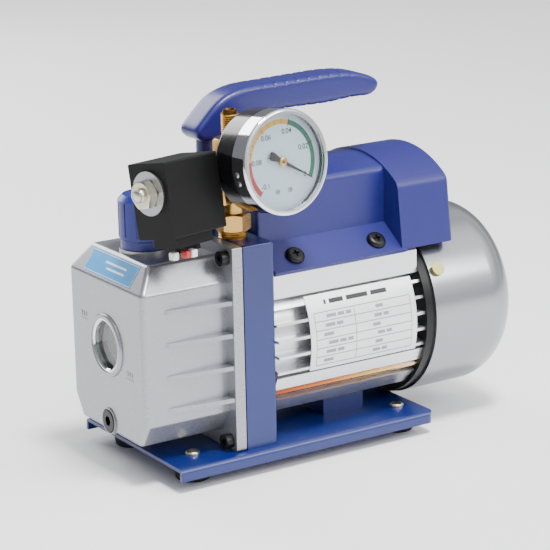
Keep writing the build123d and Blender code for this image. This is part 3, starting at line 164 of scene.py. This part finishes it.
MATERIALS = {
    "cover_blue": surface("cover_blue", COVER_BLUE, 0.0, (0.36, 0.50), 0.05, 40, 0.10, 0.9,
                          coat=0.15, coat_roughness=0.35),
    "handle_blue": surface("handle_blue", COVER_BLUE, 0.0, (0.30, 0.42), 0.05, 40, 0.05, 1.0,
                           coat=0.2, coat_roughness=0.3),
    "cap_blue": surface("cap_blue", srgb(14, 28, 118), 0.0, (0.30, 0.40), 0.04, 60, 0.015, 0.6),
    "block_blue": surface("block_blue", BLOCK_BLUE, 0.0, (0.30, 0.38), 0.05, 30, 0.03, 0.7,
                          coat=0.3, coat_roughness=0.15),
    "silver_paint": surface("silver_paint", SILVER, 0.72, (0.25, 0.33), 0.03, 25, 0.012, 0.35),
    "cover_silver": surface("cover_silver", SILVER, 0.9, (0.20, 0.27), 0.03, 25, 0.006, 0.4),
    "aluminium": surface("aluminium", srgb(226, 227, 230), 0.9, (0.27, 0.36), 0.04, 200, 0.002, 0.5,
                         ALONG_SHAFT),
    "black_oxide": surface("black_oxide", BLACK, 0.0, (0.30, 0.45), 0.15, 300, 0.01, 0.3,
                           specular=0.35),
    "black_plastic": surface("black_plastic", srgb(4, 4, 5), 0.0, (0.46, 0.58), 0.08, 80,
                             0.02, 0.35, specular=0.2),
    "black_gloss": surface("black_gloss", srgb(7, 7, 8), 0.0, (0.16, 0.24), 0.1, 80, 0.004, 0.6,
                           coat=0.4, coat_roughness=0.05),
    "rubber": surface("rubber", srgb(10, 10, 11), 0.0, (0.62, 0.78), 0.12, 90, 0.03, 0.5),
    "zinc": surface("zinc", srgb(205, 200, 182), 1.0, (0.24, 0.36), 0.08, 260, 0.008, 0.3),
    "steel": surface("steel", srgb(158, 159, 162), 1.0, (0.22, 0.36), 0.06, 240, 0.010, 0.3),
    "brass": surface("brass", srgb(206, 164, 92), 1.0, (0.20, 0.34), 0.08, 180, 0.008, 0.25),
    "pale_brass": surface("pale_brass", srgb(150, 142, 96), 1.0, (0.26, 0.36), 0.1, 200,
                          0.008, 0.3),
    # A darker brass as painted shade: it stands in for the shadow in the thread grooves.
    "brass_groove_painted_shade": surface("brass_groove_painted_shade", srgb(104, 74, 34), 1.0, (0.3, 0.4), 0.08, 180,
                            0.008, 0.25),
    "chrome": surface("chrome", srgb(228, 229, 232), 1.0, (0.04, 0.10), 0.02, 60, 0.0, 0.6),
    "copper": surface("copper", srgb(176, 98, 52), 0.8, (0.30, 0.45), 0.12, 400, 0.05, 0.4),
    "iron": surface("iron", srgb(120, 121, 124), 1.0, (0.35, 0.5), 0.06, 200, 0.01, 0.4),
    "carbon": surface("carbon", srgb(40, 40, 44), 0.1, (0.4, 0.5), 0.2, 500, 0.01, 0.3),
    "label": surface("label", srgb(232, 233, 235), 0.25, (0.30, 0.38), 0.02, 50, 0.004, 0.5),
    "dial": surface("dial", srgb(214, 234, 248), 0.0, (0.34, 0.42), 0.01, 60, 0.003, 0.4),
    "ink": surface("ink", srgb(26, 28, 34), 0.0, (0.4, 0.5), 0.1, 900),
    "grey_ink": surface("grey_ink", srgb(138, 140, 146), 0.0, (0.4, 0.5), 0.1, 900),
    "green_band": surface("green_band", srgb(10, 112, 84), 0.0, (0.36, 0.44), 0.03, 300),
    "yellow_band": surface("yellow_band", srgb(240, 184, 66), 0.0, (0.36, 0.44), 0.03, 300),
    "red_band": surface("red_band", srgb(206, 44, 52), 0.0, (0.36, 0.44), 0.03, 300),
    "decal_blue": surface("decal_blue", srgb(8, 146, 214), 0.0, (0.2, 0.28), 0.18, 120,
                          coat=0.5),
    "decal_white": surface("decal_white", srgb(226, 240, 248), 0.0, (0.2, 0.28), 0.03, 120,
                           coat=0.5),
    "white_plastic": surface("white_plastic", srgb(226, 226, 224), 0.0, (0.36, 0.46), 0.03, 90,
                             0.01, 0.5),
    "red_plastic": surface("red_plastic", srgb(168, 40, 36), 0.0, (0.3, 0.4), 0.06, 90, 0.01, 0.5),
    # The oil's greenish tone is its own, but it is darkened further as painted shade inside the sight
    # ring.
    "oil": surface("oil", srgb(84, 104, 100), 0.0, (0.06, 0.10), 0.08, 70, coat=0.8),
    "glass": clear_glass("glass", srgb(252, 254, 255)),
    "sight_glass": clear_glass("sight_glass", srgb(214, 228, 224)),
}

def passivated_rod():
    """Yellow passivated steel that runs from copper at the pump end to pale gold at the fan end."""
    material = surface("yellow_zinc", srgb(214, 178, 118), 1.0, (0.20, 0.30), 0.1, 60, 0.004, 0.3,
                       ALONG_SHAFT)
    tree = material.node_tree
    low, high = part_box("through_bolts")
    where = tree.nodes.new("ShaderNodeTexCoord")
    split = tree.nodes.new("ShaderNodeSeparateXYZ")
    share = tree.nodes.new("ShaderNodeMapRange")
    share.inputs["From Min"].default_value = low.x
    share.inputs["From Max"].default_value = high.x
    colours = tree.nodes.new("ShaderNodeValToRGB")
    colours.color_ramp.elements[0].color = srgb(150, 74, 48)
    colours.color_ramp.elements[1].color = srgb(226, 208, 176)
    colours.color_ramp.elements.new(0.35).color = srgb(186, 112, 70)
    colours.color_ramp.elements.new(0.62).color = srgb(216, 168, 88)
    tree.links.new(where.outputs["Object"], split.inputs["Vector"])
    tree.links.new(split.outputs["X"], share.inputs["Value"])
    tree.links.new(share.outputs["Result"], colours.inputs["Fac"])
    tree.links.new(colours.outputs["Color"],
                   tree.nodes["Principled BSDF"].inputs["Base Color"])
    return material


MATERIALS["yellow_zinc"] = passivated_rod()

NODE_MATERIALS = {
    "block_blue": ("base_plate", "pump_block", "motor_cradle"),
    "cover_blue": ("top_cover", "handle_post"),
    "cap_blue": ("fill_cap",),
    "silver_paint": ("oil_tank",),
    "cover_silver": ("fan_cover",),
    "aluminium": ("motor_frame",),
    "black_oxide": ("tank_bolts", "cover_screws", "cartridge_bolts", "rear_end_bell", "drain_plug"),
    "black_plastic": ("coil", "terminal_block", "power_inlet", "switch_frame", "cooling_fan"),
    "black_gloss": ("gauge_case", "gauge_needle", "switch_rocker"),
    "rubber": ("rubber_feet", "tank_gasket", "shaft_seal"),
    "zinc": ("foot_screws",),
    "pale_brass": ("fan_cover_screws",),
    "steel": ("armature_tube", "coil_washer", "coil_nut", "plunger", "plunger_spring",
              "discharge_reed", "reed_stop", "front_bearing", "rear_bearing", "motor_shaft",
              "capacitor_clip", "motor_stator_core", "motor_rotor_core"),
    "brass": ("inlet_fitting", "valve_body", "flare_port", "gauge_stem", "gauge_movement"),
    "yellow_zinc": ("through_bolts",),
    "chrome": ("gauge_bezel", "sight_glass_ring"),
    "copper": ("motor_windings",),
    "iron": ("pump_stator", "pump_rotor", "pump_end_plate"),
    "carbon": ("vane_left", "vane_right"),
    "label": ("rating_plate",),
    "dial": ("gauge_dial",),
    "white_plastic": ("capacitor",),
    "glass": ("gauge_glass",),
    "sight_glass": ("sight_glass",),
}


def cad_object(node):
    return next(o for o in bpy.context.scene.objects if o.get("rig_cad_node") == node)


for material_name, nodes in NODE_MATERIALS.items():
    for node_name in nodes:
        target = cad_object(node_name)
        target.data.materials.clear()
        target.data.materials.append(MATERIALS[material_name])


# ---------------------------------------------------------------- mesh helpers
def axes(origin, x_axis, z_axis):
    """A matrix with the given origin (metres), x direction and z direction."""
    z = Vector(z_axis).normalized()
    y = z.cross(Vector(x_axis)).normalized()
    x = y.cross(z)
    matrix = Matrix((x, y, z)).transposed().to_4x4()
    matrix.translation = Vector(origin)
    return matrix


def finish_mesh(name, mesh_data, material, body, matrix=None, smooth=True, angle=35):
    """Turn a bmesh in millimetres into a piece that rides on a body."""
    bmesh.ops.remove_doubles(mesh_data, verts=mesh_data.verts, dist=1e-4)
    bmesh.ops.recalc_face_normals(mesh_data, faces=mesh_data.faces)
    mesh = bpy.data.meshes.new(name)
    mesh_data.to_mesh(mesh)
    mesh_data.free()
    mesh.transform(Matrix.Scale(MM, 4))
    if matrix is not None:
        mesh.transform(matrix)
    piece = bpy.data.objects.new(name, mesh)
    bpy.context.scene.collection.objects.link(piece)
    mesh.materials.append(MATERIALS[material])
    if smooth:
        mesh.shade_smooth()
        mesh.set_sharp_from_angle(angle=math.radians(angle))
    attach(piece, body)
    return piece


def lathe(name, profile, matrix, material, body, steps=96):
    """Revolve (radius, height) points in millimetres about the matrix's z axis."""
    data = bmesh.new()
    rings = []
    for radius, height in profile:
        if radius < 1e-6:
            rings.append([data.verts.new((0, 0, height))])
            continue
        turns = [2 * math.pi * step / steps for step in range(steps)]
        rings.append([data.verts.new((radius * math.cos(t), radius * math.sin(t), height))
                      for t in turns])
    for lower, upper in zip(rings, rings[1:]):
        if len(lower) == 1 and len(upper) == 1:
            continue
        for step in range(steps):
            after = (step + 1) % steps
            corners = [lower[step % len(lower)], lower[after % len(lower)],
                       upper[after % len(upper)], upper[step % len(upper)]]
            unique = list(dict.fromkeys(corners))
            data.faces.new(unique)
    return finish_mesh(name, data, material, body, matrix)


def prism(name, outline, low, high, matrix, material, body, bevel=0.0):
    """Extrude a closed outline of (x, y) millimetres between two heights."""
    data = bmesh.new()
    bottom = data.faces.new([data.verts.new((x, y, low)) for x, y in outline])
    made = bmesh.ops.extrude_face_region(data, geom=[bottom])
    top = [v for v in made["geom"] if isinstance(v, bmesh.types.BMVert)]
    bmesh.ops.translate(data, verts=top, vec=(0, 0, high - low))
    if bevel:
        bmesh.ops.bevel(data, geom=list(data.edges), offset=bevel, segments=2, affect="EDGES")
    return finish_mesh(name, data, material, body, matrix)


def arc_band(name, inner, outer, start, end, low, high, matrix, material, body, steps=48):
    """A flat ring segment between two angles in degrees."""
    turns = [math.radians(start + (end - start) * i / steps) for i in range(steps + 1)]
    outline = [(outer * math.cos(t), outer * math.sin(t)) for t in turns]
    outline += [(inner * math.cos(t), inner * math.sin(t)) for t in reversed(turns)]
    data = bmesh.new()
    count = steps + 1
    for height in (low, high):
        rim = [data.verts.new((x, y, height)) for x, y in outline]
        for i in range(steps):
            data.faces.new((rim[i], rim[i + 1], rim[2 * count - 2 - i], rim[2 * count - 1 - i]))
    data.verts.ensure_lookup_table()
    size = len(outline)
    for i in range(size):
        after = (i + 1) % size
        data.faces.new((data.verts[i], data.verts[after], data.verts[size + after],
                        data.verts[size + i]))
    return finish_mesh(name, data, material, body, matrix, smooth=False)


def number(name, text, size, centre, height, matrix, material, body):
    """A printed number, as a thin mesh, centred on a point (millimetres)."""
    curve = bpy.data.curves.new(name, "FONT")
    curve.body = text
    curve.size = size
    curve.align_x = "CENTER"
    curve.align_y = "CENTER"
    curve.extrude = 0.02
    curve.offset = 0.04
    holder = bpy.data.objects.new(name + "_text", curve)
    bpy.context.scene.collection.objects.link(holder)
    bpy.context.view_layer.update()
    mesh = bpy.data.meshes.new_from_object(holder.evaluated_get(
        bpy.context.evaluated_depsgraph_get()))
    bpy.data.objects.remove(holder)
    data = bmesh.new()
    data.from_mesh(mesh)
    bmesh.ops.translate(data, verts=data.verts, vec=(centre[0], centre[1], height))
    return finish_mesh(name, data, material, body, matrix, smooth=False)


def rectangle(width, height, centre=(0, 0)):
    cx, cy = centre
    return [(cx - width / 2, cy - height / 2), (cx + width / 2, cy - height / 2),
            (cx + width / 2, cy + height / 2), (cx - width / 2, cy + height / 2)]


def box_centre(node):
    low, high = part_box(node)
    return (low + high) / 2


# ---------------------------------------------------------------- handle
def soft_casting(name, node, voxel, smoothing, material, body, shape=None):
    """A smooth cast copy of a CAD node: remeshed, relaxed, then shaped point by point."""
    source = cad_object(node)
    piece = bpy.data.objects.new(name, source.data.copy())
    bpy.context.scene.collection.objects.link(piece)
    remesh = piece.modifiers.new("remesh", "REMESH")
    remesh.mode = "VOXEL"
    remesh.voxel_size = voxel * MM
    relax = piece.modifiers.new("relax", "SMOOTH")
    relax.factor = 0.5
    relax.iterations = smoothing
    bpy.context.view_layer.update()
    evaluated = piece.evaluated_get(bpy.context.evaluated_depsgraph_get())
    mesh = bpy.data.meshes.new_from_object(evaluated)
    bpy.data.objects.remove(piece)
    piece = bpy.data.objects.new(name, mesh)
    bpy.context.scene.collection.objects.link(piece)
    if shape is not None:
        for vertex in mesh.vertices:
            vertex.co += shape(vertex.co)
    mesh.materials.clear()
    mesh.materials.append(MATERIALS[material])
    mesh.shade_smooth()
    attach(piece, body)
    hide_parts(node)
    return piece


HANDLE_LOW, HANDLE_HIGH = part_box("handle_grip")
NOTCH_PITCH, NOTCH_DEPTH = 8.0 * MM, 0.7 * MM
NOTCHED_FROM, NOTCHED_TO = 0.28, 0.93  # shares of the handle's length
UPPER_EDGE = 12 * MM  # notches within this distance of the top are cut from above


def grip_shape(point):
    """Finger notches along the lower and upper side edges."""
    share = (point.x - HANDLE_LOW.x) / (HANDLE_HIGH.x - HANDLE_LOW.x)
    inside = (max(0.0, min(1.0, (share - NOTCHED_FROM) * 8))
              * max(0.0, min(1.0, (NOTCHED_TO - share) * 8)))
    wave = max(0.0, math.cos(2 * math.pi * (point.x - HANDLE_LOW.x) / NOTCH_PITCH)) ** 6
    flank = abs(point.y) / HANDLE_HIGH.y
    if flank < 0.5:
        return Vector((0, 0, 0))
    towards = 1.0 if point.z < HANDLE_HIGH.z - UPPER_EDGE else -1.0
    return Vector((0, 0, NOTCH_DEPTH * wave * inside * towards))


HANDLE_VOXEL, HANDLE_SMOOTHING = 0.9, 30
soft_casting("handle_casting", "handle_grip", HANDLE_VOXEL, HANDLE_SMOOTHING, "handle_blue",
             "pump_body", grip_shape)

# ---------------------------------------------------------------- vacuum gauge
needle_joint = JOINTS["gauge_needle_turn"]
GAUGE_AXIS = Vector(needle_joint["axis"])
GAUGE_X = Vector((0, 0, 1)).cross(GAUGE_AXIS)
NEEDLE_DEPTH = 4.4
gauge = axes(Vector(needle_joint["pos_m"]) + GAUGE_AXIS * NEEDLE_DEPTH * MM, GAUGE_X, GAUGE_AXIS)
DIAL_FACE = -6.2
SCALE_START, SCALE_STEP = -30.0, 51.0
BAND_INNER, BAND_OUTER = 22.0, 25.0
TICK_INNER, TICK_OUTER = 21.2, 25.8
BANDS = (("green_band", 0, 2), ("yellow_band", 2, 4), ("red_band", 4, 5))
for band, first, last in BANDS:
    arc_band(f"dial_{band}", BAND_INNER, BAND_OUTER, SCALE_START + SCALE_STEP * first,
             SCALE_START + SCALE_STEP * last, DIAL_FACE, DIAL_FACE + 0.06, gauge, band, "pump_body")
MINOR_PER_STEP = 4
NUMBER_SIZE = 4.3
for tick in range(5 * MINOR_PER_STEP + 1):
    turn = math.radians(SCALE_START + SCALE_STEP * tick / MINOR_PER_STEP)
    major = tick % MINOR_PER_STEP == 0
    inner, outer = (TICK_INNER, TICK_OUTER) if major else (BAND_INNER, BAND_OUTER)
    spin = gauge @ Matrix.Rotation(turn, 4, "Z")
    prism(f"dial_tick_{tick}", rectangle(outer - inner, 0.34 if major else 0.2,
                                         ((inner + outer) / 2, 0)),
          DIAL_FACE, DIAL_FACE + 0.1, spin, "ink", "pump_body")
for step, text in enumerate(("0", "0.02", "0.04", "0.06", "0.08", "-0.1")):
    turn = math.radians(SCALE_START + SCALE_STEP * step)
    reach = 19.4 if step == 0 else 18.2
    spot = (reach * math.cos(turn), reach * math.sin(turn))
    number(f"dial_number_{step}", text, NUMBER_SIZE, spot, DIAL_FACE + 0.05, gauge, "ink",
           "pump_body")
for index, x in enumerate((-4.6, 4.6)):
    screw = gauge @ Matrix.Translation(Vector((x, -17.0, 0)) * MM)
    lathe(f"dial_screw_{index}", [(0, DIAL_FACE + 0.7), (1.0, DIAL_FACE + 0.65),
                                  (1.6, DIAL_FACE + 0.25), (1.6, DIAL_FACE)], screw, "steel",
          "pump_body", 32)
    # Each screw's slot is a thin dark bar on the head: painted shade for the recess.
    prism(f"dial_screw_slot_painted_shade_{index}", rectangle(2.2, 0.35), DIAL_FACE + 0.6, DIAL_FACE + 0.74,
          screw @ Matrix.Rotation(0.6 + index, 4, "Z"), "ink", "pump_body")

# needle with a broad tail and a brass hub
NEEDLE_Z = -NEEDLE_DEPTH
tip = math.radians(SCALE_START)
needle_frame = gauge @ Matrix.Rotation(tip, 4, "Z")
needle = prism("needle_blade", [(-10.5, -2.1), (-8.5, -2.6), (-2.0, -1.1), (0, -1.2), (22.5, -0.16),
                                (22.5, 0.16), (0, 1.2), (-2.0, 1.1), (-8.5, 2.6), (-10.5, 2.1)],
               NEEDLE_Z - 0.3, NEEDLE_Z + 0.3, needle_frame, "black_gloss", "needle")
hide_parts("gauge_needle")
lathe("needle_hub", [(0, NEEDLE_Z + 0.6), (2.2, NEEDLE_Z + 0.55), (2.7, NEEDLE_Z + 0.3),
                     (2.7, NEEDLE_Z - 0.9), (0.9, NEEDLE_Z - 0.9), (0.9, NEEDLE_Z - 1.8)],
      gauge, "brass", "needle", 48)
lathe("needle_hub_pin", [(0, NEEDLE_Z + 0.68), (0.8, NEEDLE_Z + 0.66), (0.9, NEEDLE_Z + 0.5)], gauge,
      "ink", "needle", 24)

# two small screws on the side of the bezel
for index, (turn, depth) in enumerate(((186.0, -8.0), (196.0, -8.0))):
    angle = math.radians(turn)
    out = gauge.to_3x3() @ Vector((math.cos(angle), math.sin(angle), 0))
    seat = gauge @ (Vector((31.2 * math.cos(angle), 31.2 * math.sin(angle), depth)) * MM)
    lathe(f"bezel_screw_{index}", [(0, 0.95), (1.1, 0.85), (1.7, 0.3), (1.7, -0.6)],
          axes(seat, GAUGE_AXIS, out), "steel", "pump_body", 32)

# ---------------------------------------------------------------- sight glass and level marks
sight = box_centre("sight_glass")
tank_low, tank_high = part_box("oil_tank")
sight_axis = axes((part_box("sight_glass")[0].x, sight.y, sight.z), (0, 1, 0), (-1, 0, 0))
# The oil surface behind the glass; its darkened colour is partly painted shade.
lathe("sight_float", [(0, -8.0), (14.0, -8.0), (14.3, -9.0)], sight_axis, "oil", "pump_body")
# A black ring inside the chrome ring: painted shade for the shadow inside the sight glass.
lathe("sight_ring_painted_shadow", [(11.8, -4.4), (11.8, -7.5), (13.9, -7.5), (13.9, -4.4), (11.8, -4.4)],
      sight_axis, "black_gloss", "pump_body")

# ---------------------------------------------------------------- inlet fittings
valve = box_centre("inlet_fitting")
column = axes((valve.x, valve.y, 0), (1, 0, 0), (0, 0, 1))
fitting_low, fitting_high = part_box("inlet_fitting")
port_low, port_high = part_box("flare_port")
THREAD_R = 5.55


def thread(name, radius, depth, pitch, low, high, matrix, material, body, steps=48):
    """A helical 60 degree thread between two heights, in millimetres."""
    data = bmesh.new()
    turns = (high - low) / pitch
    rows = int(turns * steps)
    grid = []
    for i in range(rows + 1):
        angle = 2 * math.pi * i / steps
        start = low + pitch * i / steps
        ring = []
        for reach, lift in ((radius - depth, -0.5), (radius, -0.08), (radius, 0.08),
                            (radius - depth, 0.5)):
            height = min(max(start + lift * pitch, low), high)
            ring.append(data.verts.new((reach * math.cos(angle), reach * math.sin(angle), height)))
        grid.append(ring)
    for one, two in zip(grid, grid[1:]):
        for k in range(3):
            data.faces.new((one[k], one[k + 1], two[k + 1], two[k]))
    return finish_mesh(name, data, material, body, matrix, angle=25)


def hex_nut(name, flats, low, high, bore, matrix, material, body, turn=0.0, steps=72):
    """A chamfered hexagon across the given flats, with a round bore, between two heights."""
    apothem = flats / 2
    chamfer_r = apothem * 0.97
    data = bmesh.new()
    rings = [[] for _ in range(6)]
    for step in range(steps):
        angle = 2 * math.pi * step / steps
        side = (angle + math.pi / 6) % (math.pi / 3) - math.pi / 6
        reach = apothem / math.cos(side)
        drop = (reach - chamfer_r) * 0.55
        spun = angle + math.radians(turn)
        across = (math.cos(spun), math.sin(spun))
        for ring, (radius, height) in zip(rings, (
            (bore, low), (chamfer_r, low), (reach, low + drop), (reach, high - drop),
            (chamfer_r, high), (bore, high),
        )):
            ring.append(data.verts.new((radius * across[0], radius * across[1], height)))
    for one, two in zip(rings, rings[1:] + rings[:1]):
        for step in range(steps):
            after = (step + 1) % steps
            data.faces.new((one[step], one[after], two[after], two[step]))
    return finish_mesh(name, data, material, body, matrix, angle=22)


def inlet_column():
    """The threaded fitting, its hexagon, and the flare port with its thread and conical mouth."""
    yaw = JOINTS["solenoid_stroke"]["axis"]
    column_turn = math.degrees(math.atan2(-yaw[1], -yaw[0]))
    base = fitting_low.z / MM + 9.0
    top = fitting_high.z / MM
    core = lathe("fitting_core", [(3.0, base - 9.0), (6.4, base - 9.0), (6.4, base - 0.1), (7.9, base),
                                  (7.9, base + 4.6), (7.2, base + 5.0), (7.2, base + 15.0),
                                  (6.6, base + 15.4), (6.4, base + 18.0), (6.4, top), (3.0, top)],
                 column, "brass", "pump_body")
    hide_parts("inlet_fitting")
    thread("fitting_thread", 8.8, 0.95, 1.5, base + 0.1, base + 4.7, column, "brass", "pump_body", 64)
    hex_nut("fitting_hexagon", 19.0, base + 4.8, base + 15.2, 7.0, column, "brass", "pump_body", 0.0)
    port_base = port_low.z / MM + 8.0
    port_top = port_high.z / MM
    hex_nut("port_hexagon", 19.0, port_base, port_base + 9.0, 4.0, column, "brass", "pump_body",
            column_turn)
    # The port's core under the thread is darker brass, painted shade for the thread grooves.
    core = lathe("port_core", [(3.0, port_base - 8.0), (6.4, port_base - 8.0), (6.4, port_base),
                               (4.6, port_base + 8.9), (4.85, port_base + 9.2),
                               (4.85, port_top - 2.6), (4.3, port_top), (3.4, port_top),
                               (2.4, port_top - 2.0), (2.4, port_base)],
                 column, "brass_groove_painted_shade", "pump_body")
    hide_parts("flare_port")
    thread("port_thread", THREAD_R, 0.78, 1.27, port_base + 10.4, port_top - 2.2, column, "brass",
           "pump_body", 48)


inlet_column()

# ---------------------------------------------------------------- solenoid details
stroke = Vector(JOINTS["solenoid_stroke"]["axis"])
nut_centre = box_centre("coil_nut")
coil_axis = axes(nut_centre, Vector((0, 0, 1)), stroke)
nut = hex_nut("coil_hexagon_nut", 15.4, -3.0, 2.9, 4.1, coil_axis, "zinc", "pump_body", 12.0)
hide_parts("coil_nut")
lathe("coil_stub_dome", [(0, 6.1), (2.4, 5.9), (3.9, 5.2), (4.3, 4.4), (4.3, 2.6)], coil_axis, "zinc",
      "pump_body", 48)
lathe("coil_lock_ring", [(7.4, -3.05), (11.6, -3.05), (12.2, -3.4), (12.2, -4.2)], coil_axis,
      "steel", "pump_body", 72)
terminal_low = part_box("terminal_block")[0]
for index, (material, along) in enumerate((("white_plastic", 5.0), ("red_plastic", 13.0),
                                           ("white_plastic", 17.5))):
    spot = terminal_low + Vector((along, 6.0, 0.6)) * MM
    clip = axes(spot, stroke, (0, 0, 1))
    prism(f"terminal_clip_{index}", rectangle(4.2, 4.6), -2.2, 2.2, clip, material, "pump_body", 0.4)

# ---------------------------------------------------------------- rating plate print
plate_low, plate_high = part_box("rating_plate")
SHAFT = Vector(JOINTS["rotor_spin"]["pos_m"])
plate_r = math.hypot(plate_low.y - SHAFT.y, 0) / MM
plate_bottom = math.degrees(math.asin((plate_low.z - SHAFT.z) / MM / plate_r))
plate_top = math.degrees(math.asin((plate_high.z - SHAFT.z) / MM / plate_r))
around = axes((0, SHAFT.y, SHAFT.z), (0, -1, 0), (-1, 0, 0))


def printed(name, left, right, bottom, top, ink="grey_ink"):
    """A printed patch on the plate: shares of its length and of its height."""
    length = (plate_high.x - plate_low.x) / MM
    x0 = plate_low.x / MM + length * left
    x1 = plate_low.x / MM + length * right
    low = plate_bottom + (plate_top - plate_bottom) * bottom
    high = plate_bottom + (plate_top - plate_bottom) * top
    arc_band(name, plate_r - 0.05, plate_r + 0.05, low, high, -x1, -x0, around, ink, "pump_body", 10)


ROWS = 6
TABLE = (0.05, 0.95, 0.06, 0.76)
LINE = 0.006
for row in range(ROWS + 1):
    height = TABLE[2] + (TABLE[3] - TABLE[2]) * row / ROWS
    printed(f"plate_line_{row}", TABLE[0], TABLE[1], height - LINE, height + LINE)
for index, share in enumerate((TABLE[0], 0.42, TABLE[1])):
    printed(f"plate_rule_{index}", share - LINE / 2, share + LINE / 2, TABLE[2], TABLE[3])
for row in range(ROWS):
    middle = TABLE[2] + (TABLE[3] - TABLE[2]) * (row + 0.5) / ROWS
    for side, (start, lengths) in enumerate(((0.12, (0.09, 0.06, 0.05)), (0.58, (0.07, 0.05)))):
        at = start + 0.02 * (row % 3)
        for word, length in enumerate(lengths[: 1 + (row + side) % len(lengths)]):
            printed(f"plate_entry_{row}_{side}_{word}", at, at + length, middle - 0.022,
                    middle + 0.022, "grey_ink")
            at += length + 0.015
at = 0.16
for index, length in enumerate((0.02, 0.13, 0.20, 0.15)):
    printed(f"plate_heading_{index}", at, at + length, 0.855, 0.915, "ink")
    at += length + 0.03

# ---------------------------------------------------------------- tank marks and decal
SIGHT_BOSS = 1.6 * MM  # how far the boss of the sight glass stands out of the tank
tank_front = tank_low.x + SIGHT_BOSS
for index, (y, z) in enumerate(((27.5, 13.6), (-27.5, -11.4))):
    mark = axes((tank_front, y * MM, sight.z + z * MM), (0, -1, 0), (-1, 0, 0))
    prism(f"level_mark_{index}", rectangle(9.0, 0.7, (0, -3.2)), -0.4, 0.3, mark, "silver_paint",
          "pump_body", 0.15)
    for dash in range(3):
        prism(f"level_dash_{index}_{dash}", rectangle(1.7, 3.0, (2.8 * (dash - 1), 0)), -0.4, 0.3, mark,
              "silver_paint", "pump_body", 0.15)
SLOPE_DROP = (22.2 * MM, 6.9 * MM)  # lower and upper edge of the slope below the flange's top
SLOPE_RUN = 11.1 * MM
slope_rise = SLOPE_DROP[0] - SLOPE_DROP[1]
slope = Vector((-slope_rise, 0, SLOPE_RUN)).normalized()
decal_middle = Vector((tank_front + SLOPE_RUN / 2, 0, tank_high.z - sum(SLOPE_DROP) / 2))
decal = axes(decal_middle, (0, -1, 0), slope)
for name, (width, height), (low, high), ink in (
    ("edge", (57.0, 14.6), (0.05, 0.14), "decal_blue"),
    ("border", (56.0, 13.6), (0.14, 0.18), "decal_white"),
    ("field", (55.2, 12.8), (0.18, 0.22), "decal_blue"),
    ("upper_line", (25.0, 1.3), (0.22, 0.25), "decal_white"),
    ("lower_line", (21.0, 1.3), (0.22, 0.25), "decal_white"),
):
    centre = {"upper_line": (4.0, 2.0), "lower_line": (6.0, -1.6)}.get(name, (0, 0))
    prism(f"decal_{name}", rectangle(width, height, centre), low, high, decal, ink, "pump_body")


# ---------------------------------------------------------------- stage, light and camera
def floor_and_light():
    """A pale floor, a graded studio sky and three soft lamps."""
    bpy.ops.mesh.primitive_plane_add(size=6, location=(0, 0, 0))
    floor = bpy.context.object
    floor.name = "floor"
    floor.data.materials.append(surface("floor", srgb(250, 250, 251), 0.0, (0.7, 0.8), 0.004, 3))
    world = bpy.data.worlds.new("studio")
    bpy.context.scene.world = world
    world.use_nodes = True
    tree = world.node_tree
    background = tree.nodes["Background"]
    background.inputs["Strength"].default_value = 0.8
    where = tree.nodes.new("ShaderNodeTexCoord")
    towards = tree.nodes.new("ShaderNodeVectorMath")
    towards.operation = "DOT_PRODUCT"
    towards.inputs[1].default_value = Vector((0.35, -0.55, 0.75)).normalized()
    tree.links.new(where.outputs["Generated"], towards.inputs[0])
    sky = tree.nodes.new("ShaderNodeValToRGB")
    sky.color_ramp.elements[0].position = 0.0
    sky.color_ramp.elements[0].color = (0.30, 0.31, 0.33, 1)
    sky.color_ramp.elements[1].position = 0.9
    sky.color_ramp.elements[1].color = (2.6, 2.6, 2.6, 1)
    for position, level in ((0.30, 0.55), (0.50, 1.5), (0.66, 0.9)):
        stop = sky.color_ramp.elements.new(position)
        stop.color = (level, level, level, 1)
    tree.links.new(towards.outputs["Value"], sky.inputs["Fac"])
    tree.links.new(sky.outputs["Color"], background.inputs["Color"])
    for name, place, size, power in (
        ("key", (0.9, -1.3, 1.1), 0.6, 12),
        ("grazing", (0.0, -0.5, 1.5), 0.3, 34),
        ("back", (-0.2, 1.6, 0.9), 1.0, 24),
    ):
        light = bpy.data.lights.new(name, "AREA")
        light.size = size
        light.energy = power
        lamp = bpy.data.objects.new(name, light)
        lamp.location = place
        aim = Vector((0, 0, 0.1)) - Vector(place)
        lamp.rotation_euler = aim.to_track_quat("-Z", "Y").to_euler()
        bpy.context.scene.collection.objects.link(lamp)


CAMERA_ANGLES = (-32.44, 15.48, -1.2)  # azimuth, elevation and roll in degrees
CAMERA_PLACE = (-706.7, -1127.2, 473.8)  # millimetres
CAMERA_LENS = 145.25


def photo_camera():
    """The camera, at the viewing angle and with a small roll."""
    azimuth, elevation, roll = (math.radians(angle) for angle in CAMERA_ANGLES)
    back = Vector((math.sin(azimuth) * math.cos(elevation), -math.cos(azimuth) * math.cos(elevation),
                   math.sin(elevation)))
    right = (-back).cross(Vector((0, 0, 1))).normalized()
    up = right.cross(-back)
    tilted_right = right * math.cos(roll) + up * math.sin(roll)
    tilted_up = up * math.cos(roll) - right * math.sin(roll)
    camera = bpy.data.cameras.new("camera")
    camera.sensor_width = 36.0
    camera.lens = CAMERA_LENS
    camera.clip_start, camera.clip_end = 0.05, 50
    holder = bpy.data.objects.new("camera", camera)
    turn = Matrix((tilted_right, tilted_up, back)).transposed().to_4x4()
    turn.translation = Vector(CAMERA_PLACE) * MM
    holder.matrix_world = turn
    bpy.context.scene.collection.objects.link(holder)
    bpy.context.scene.camera = holder


floor_and_light()
photo_camera()
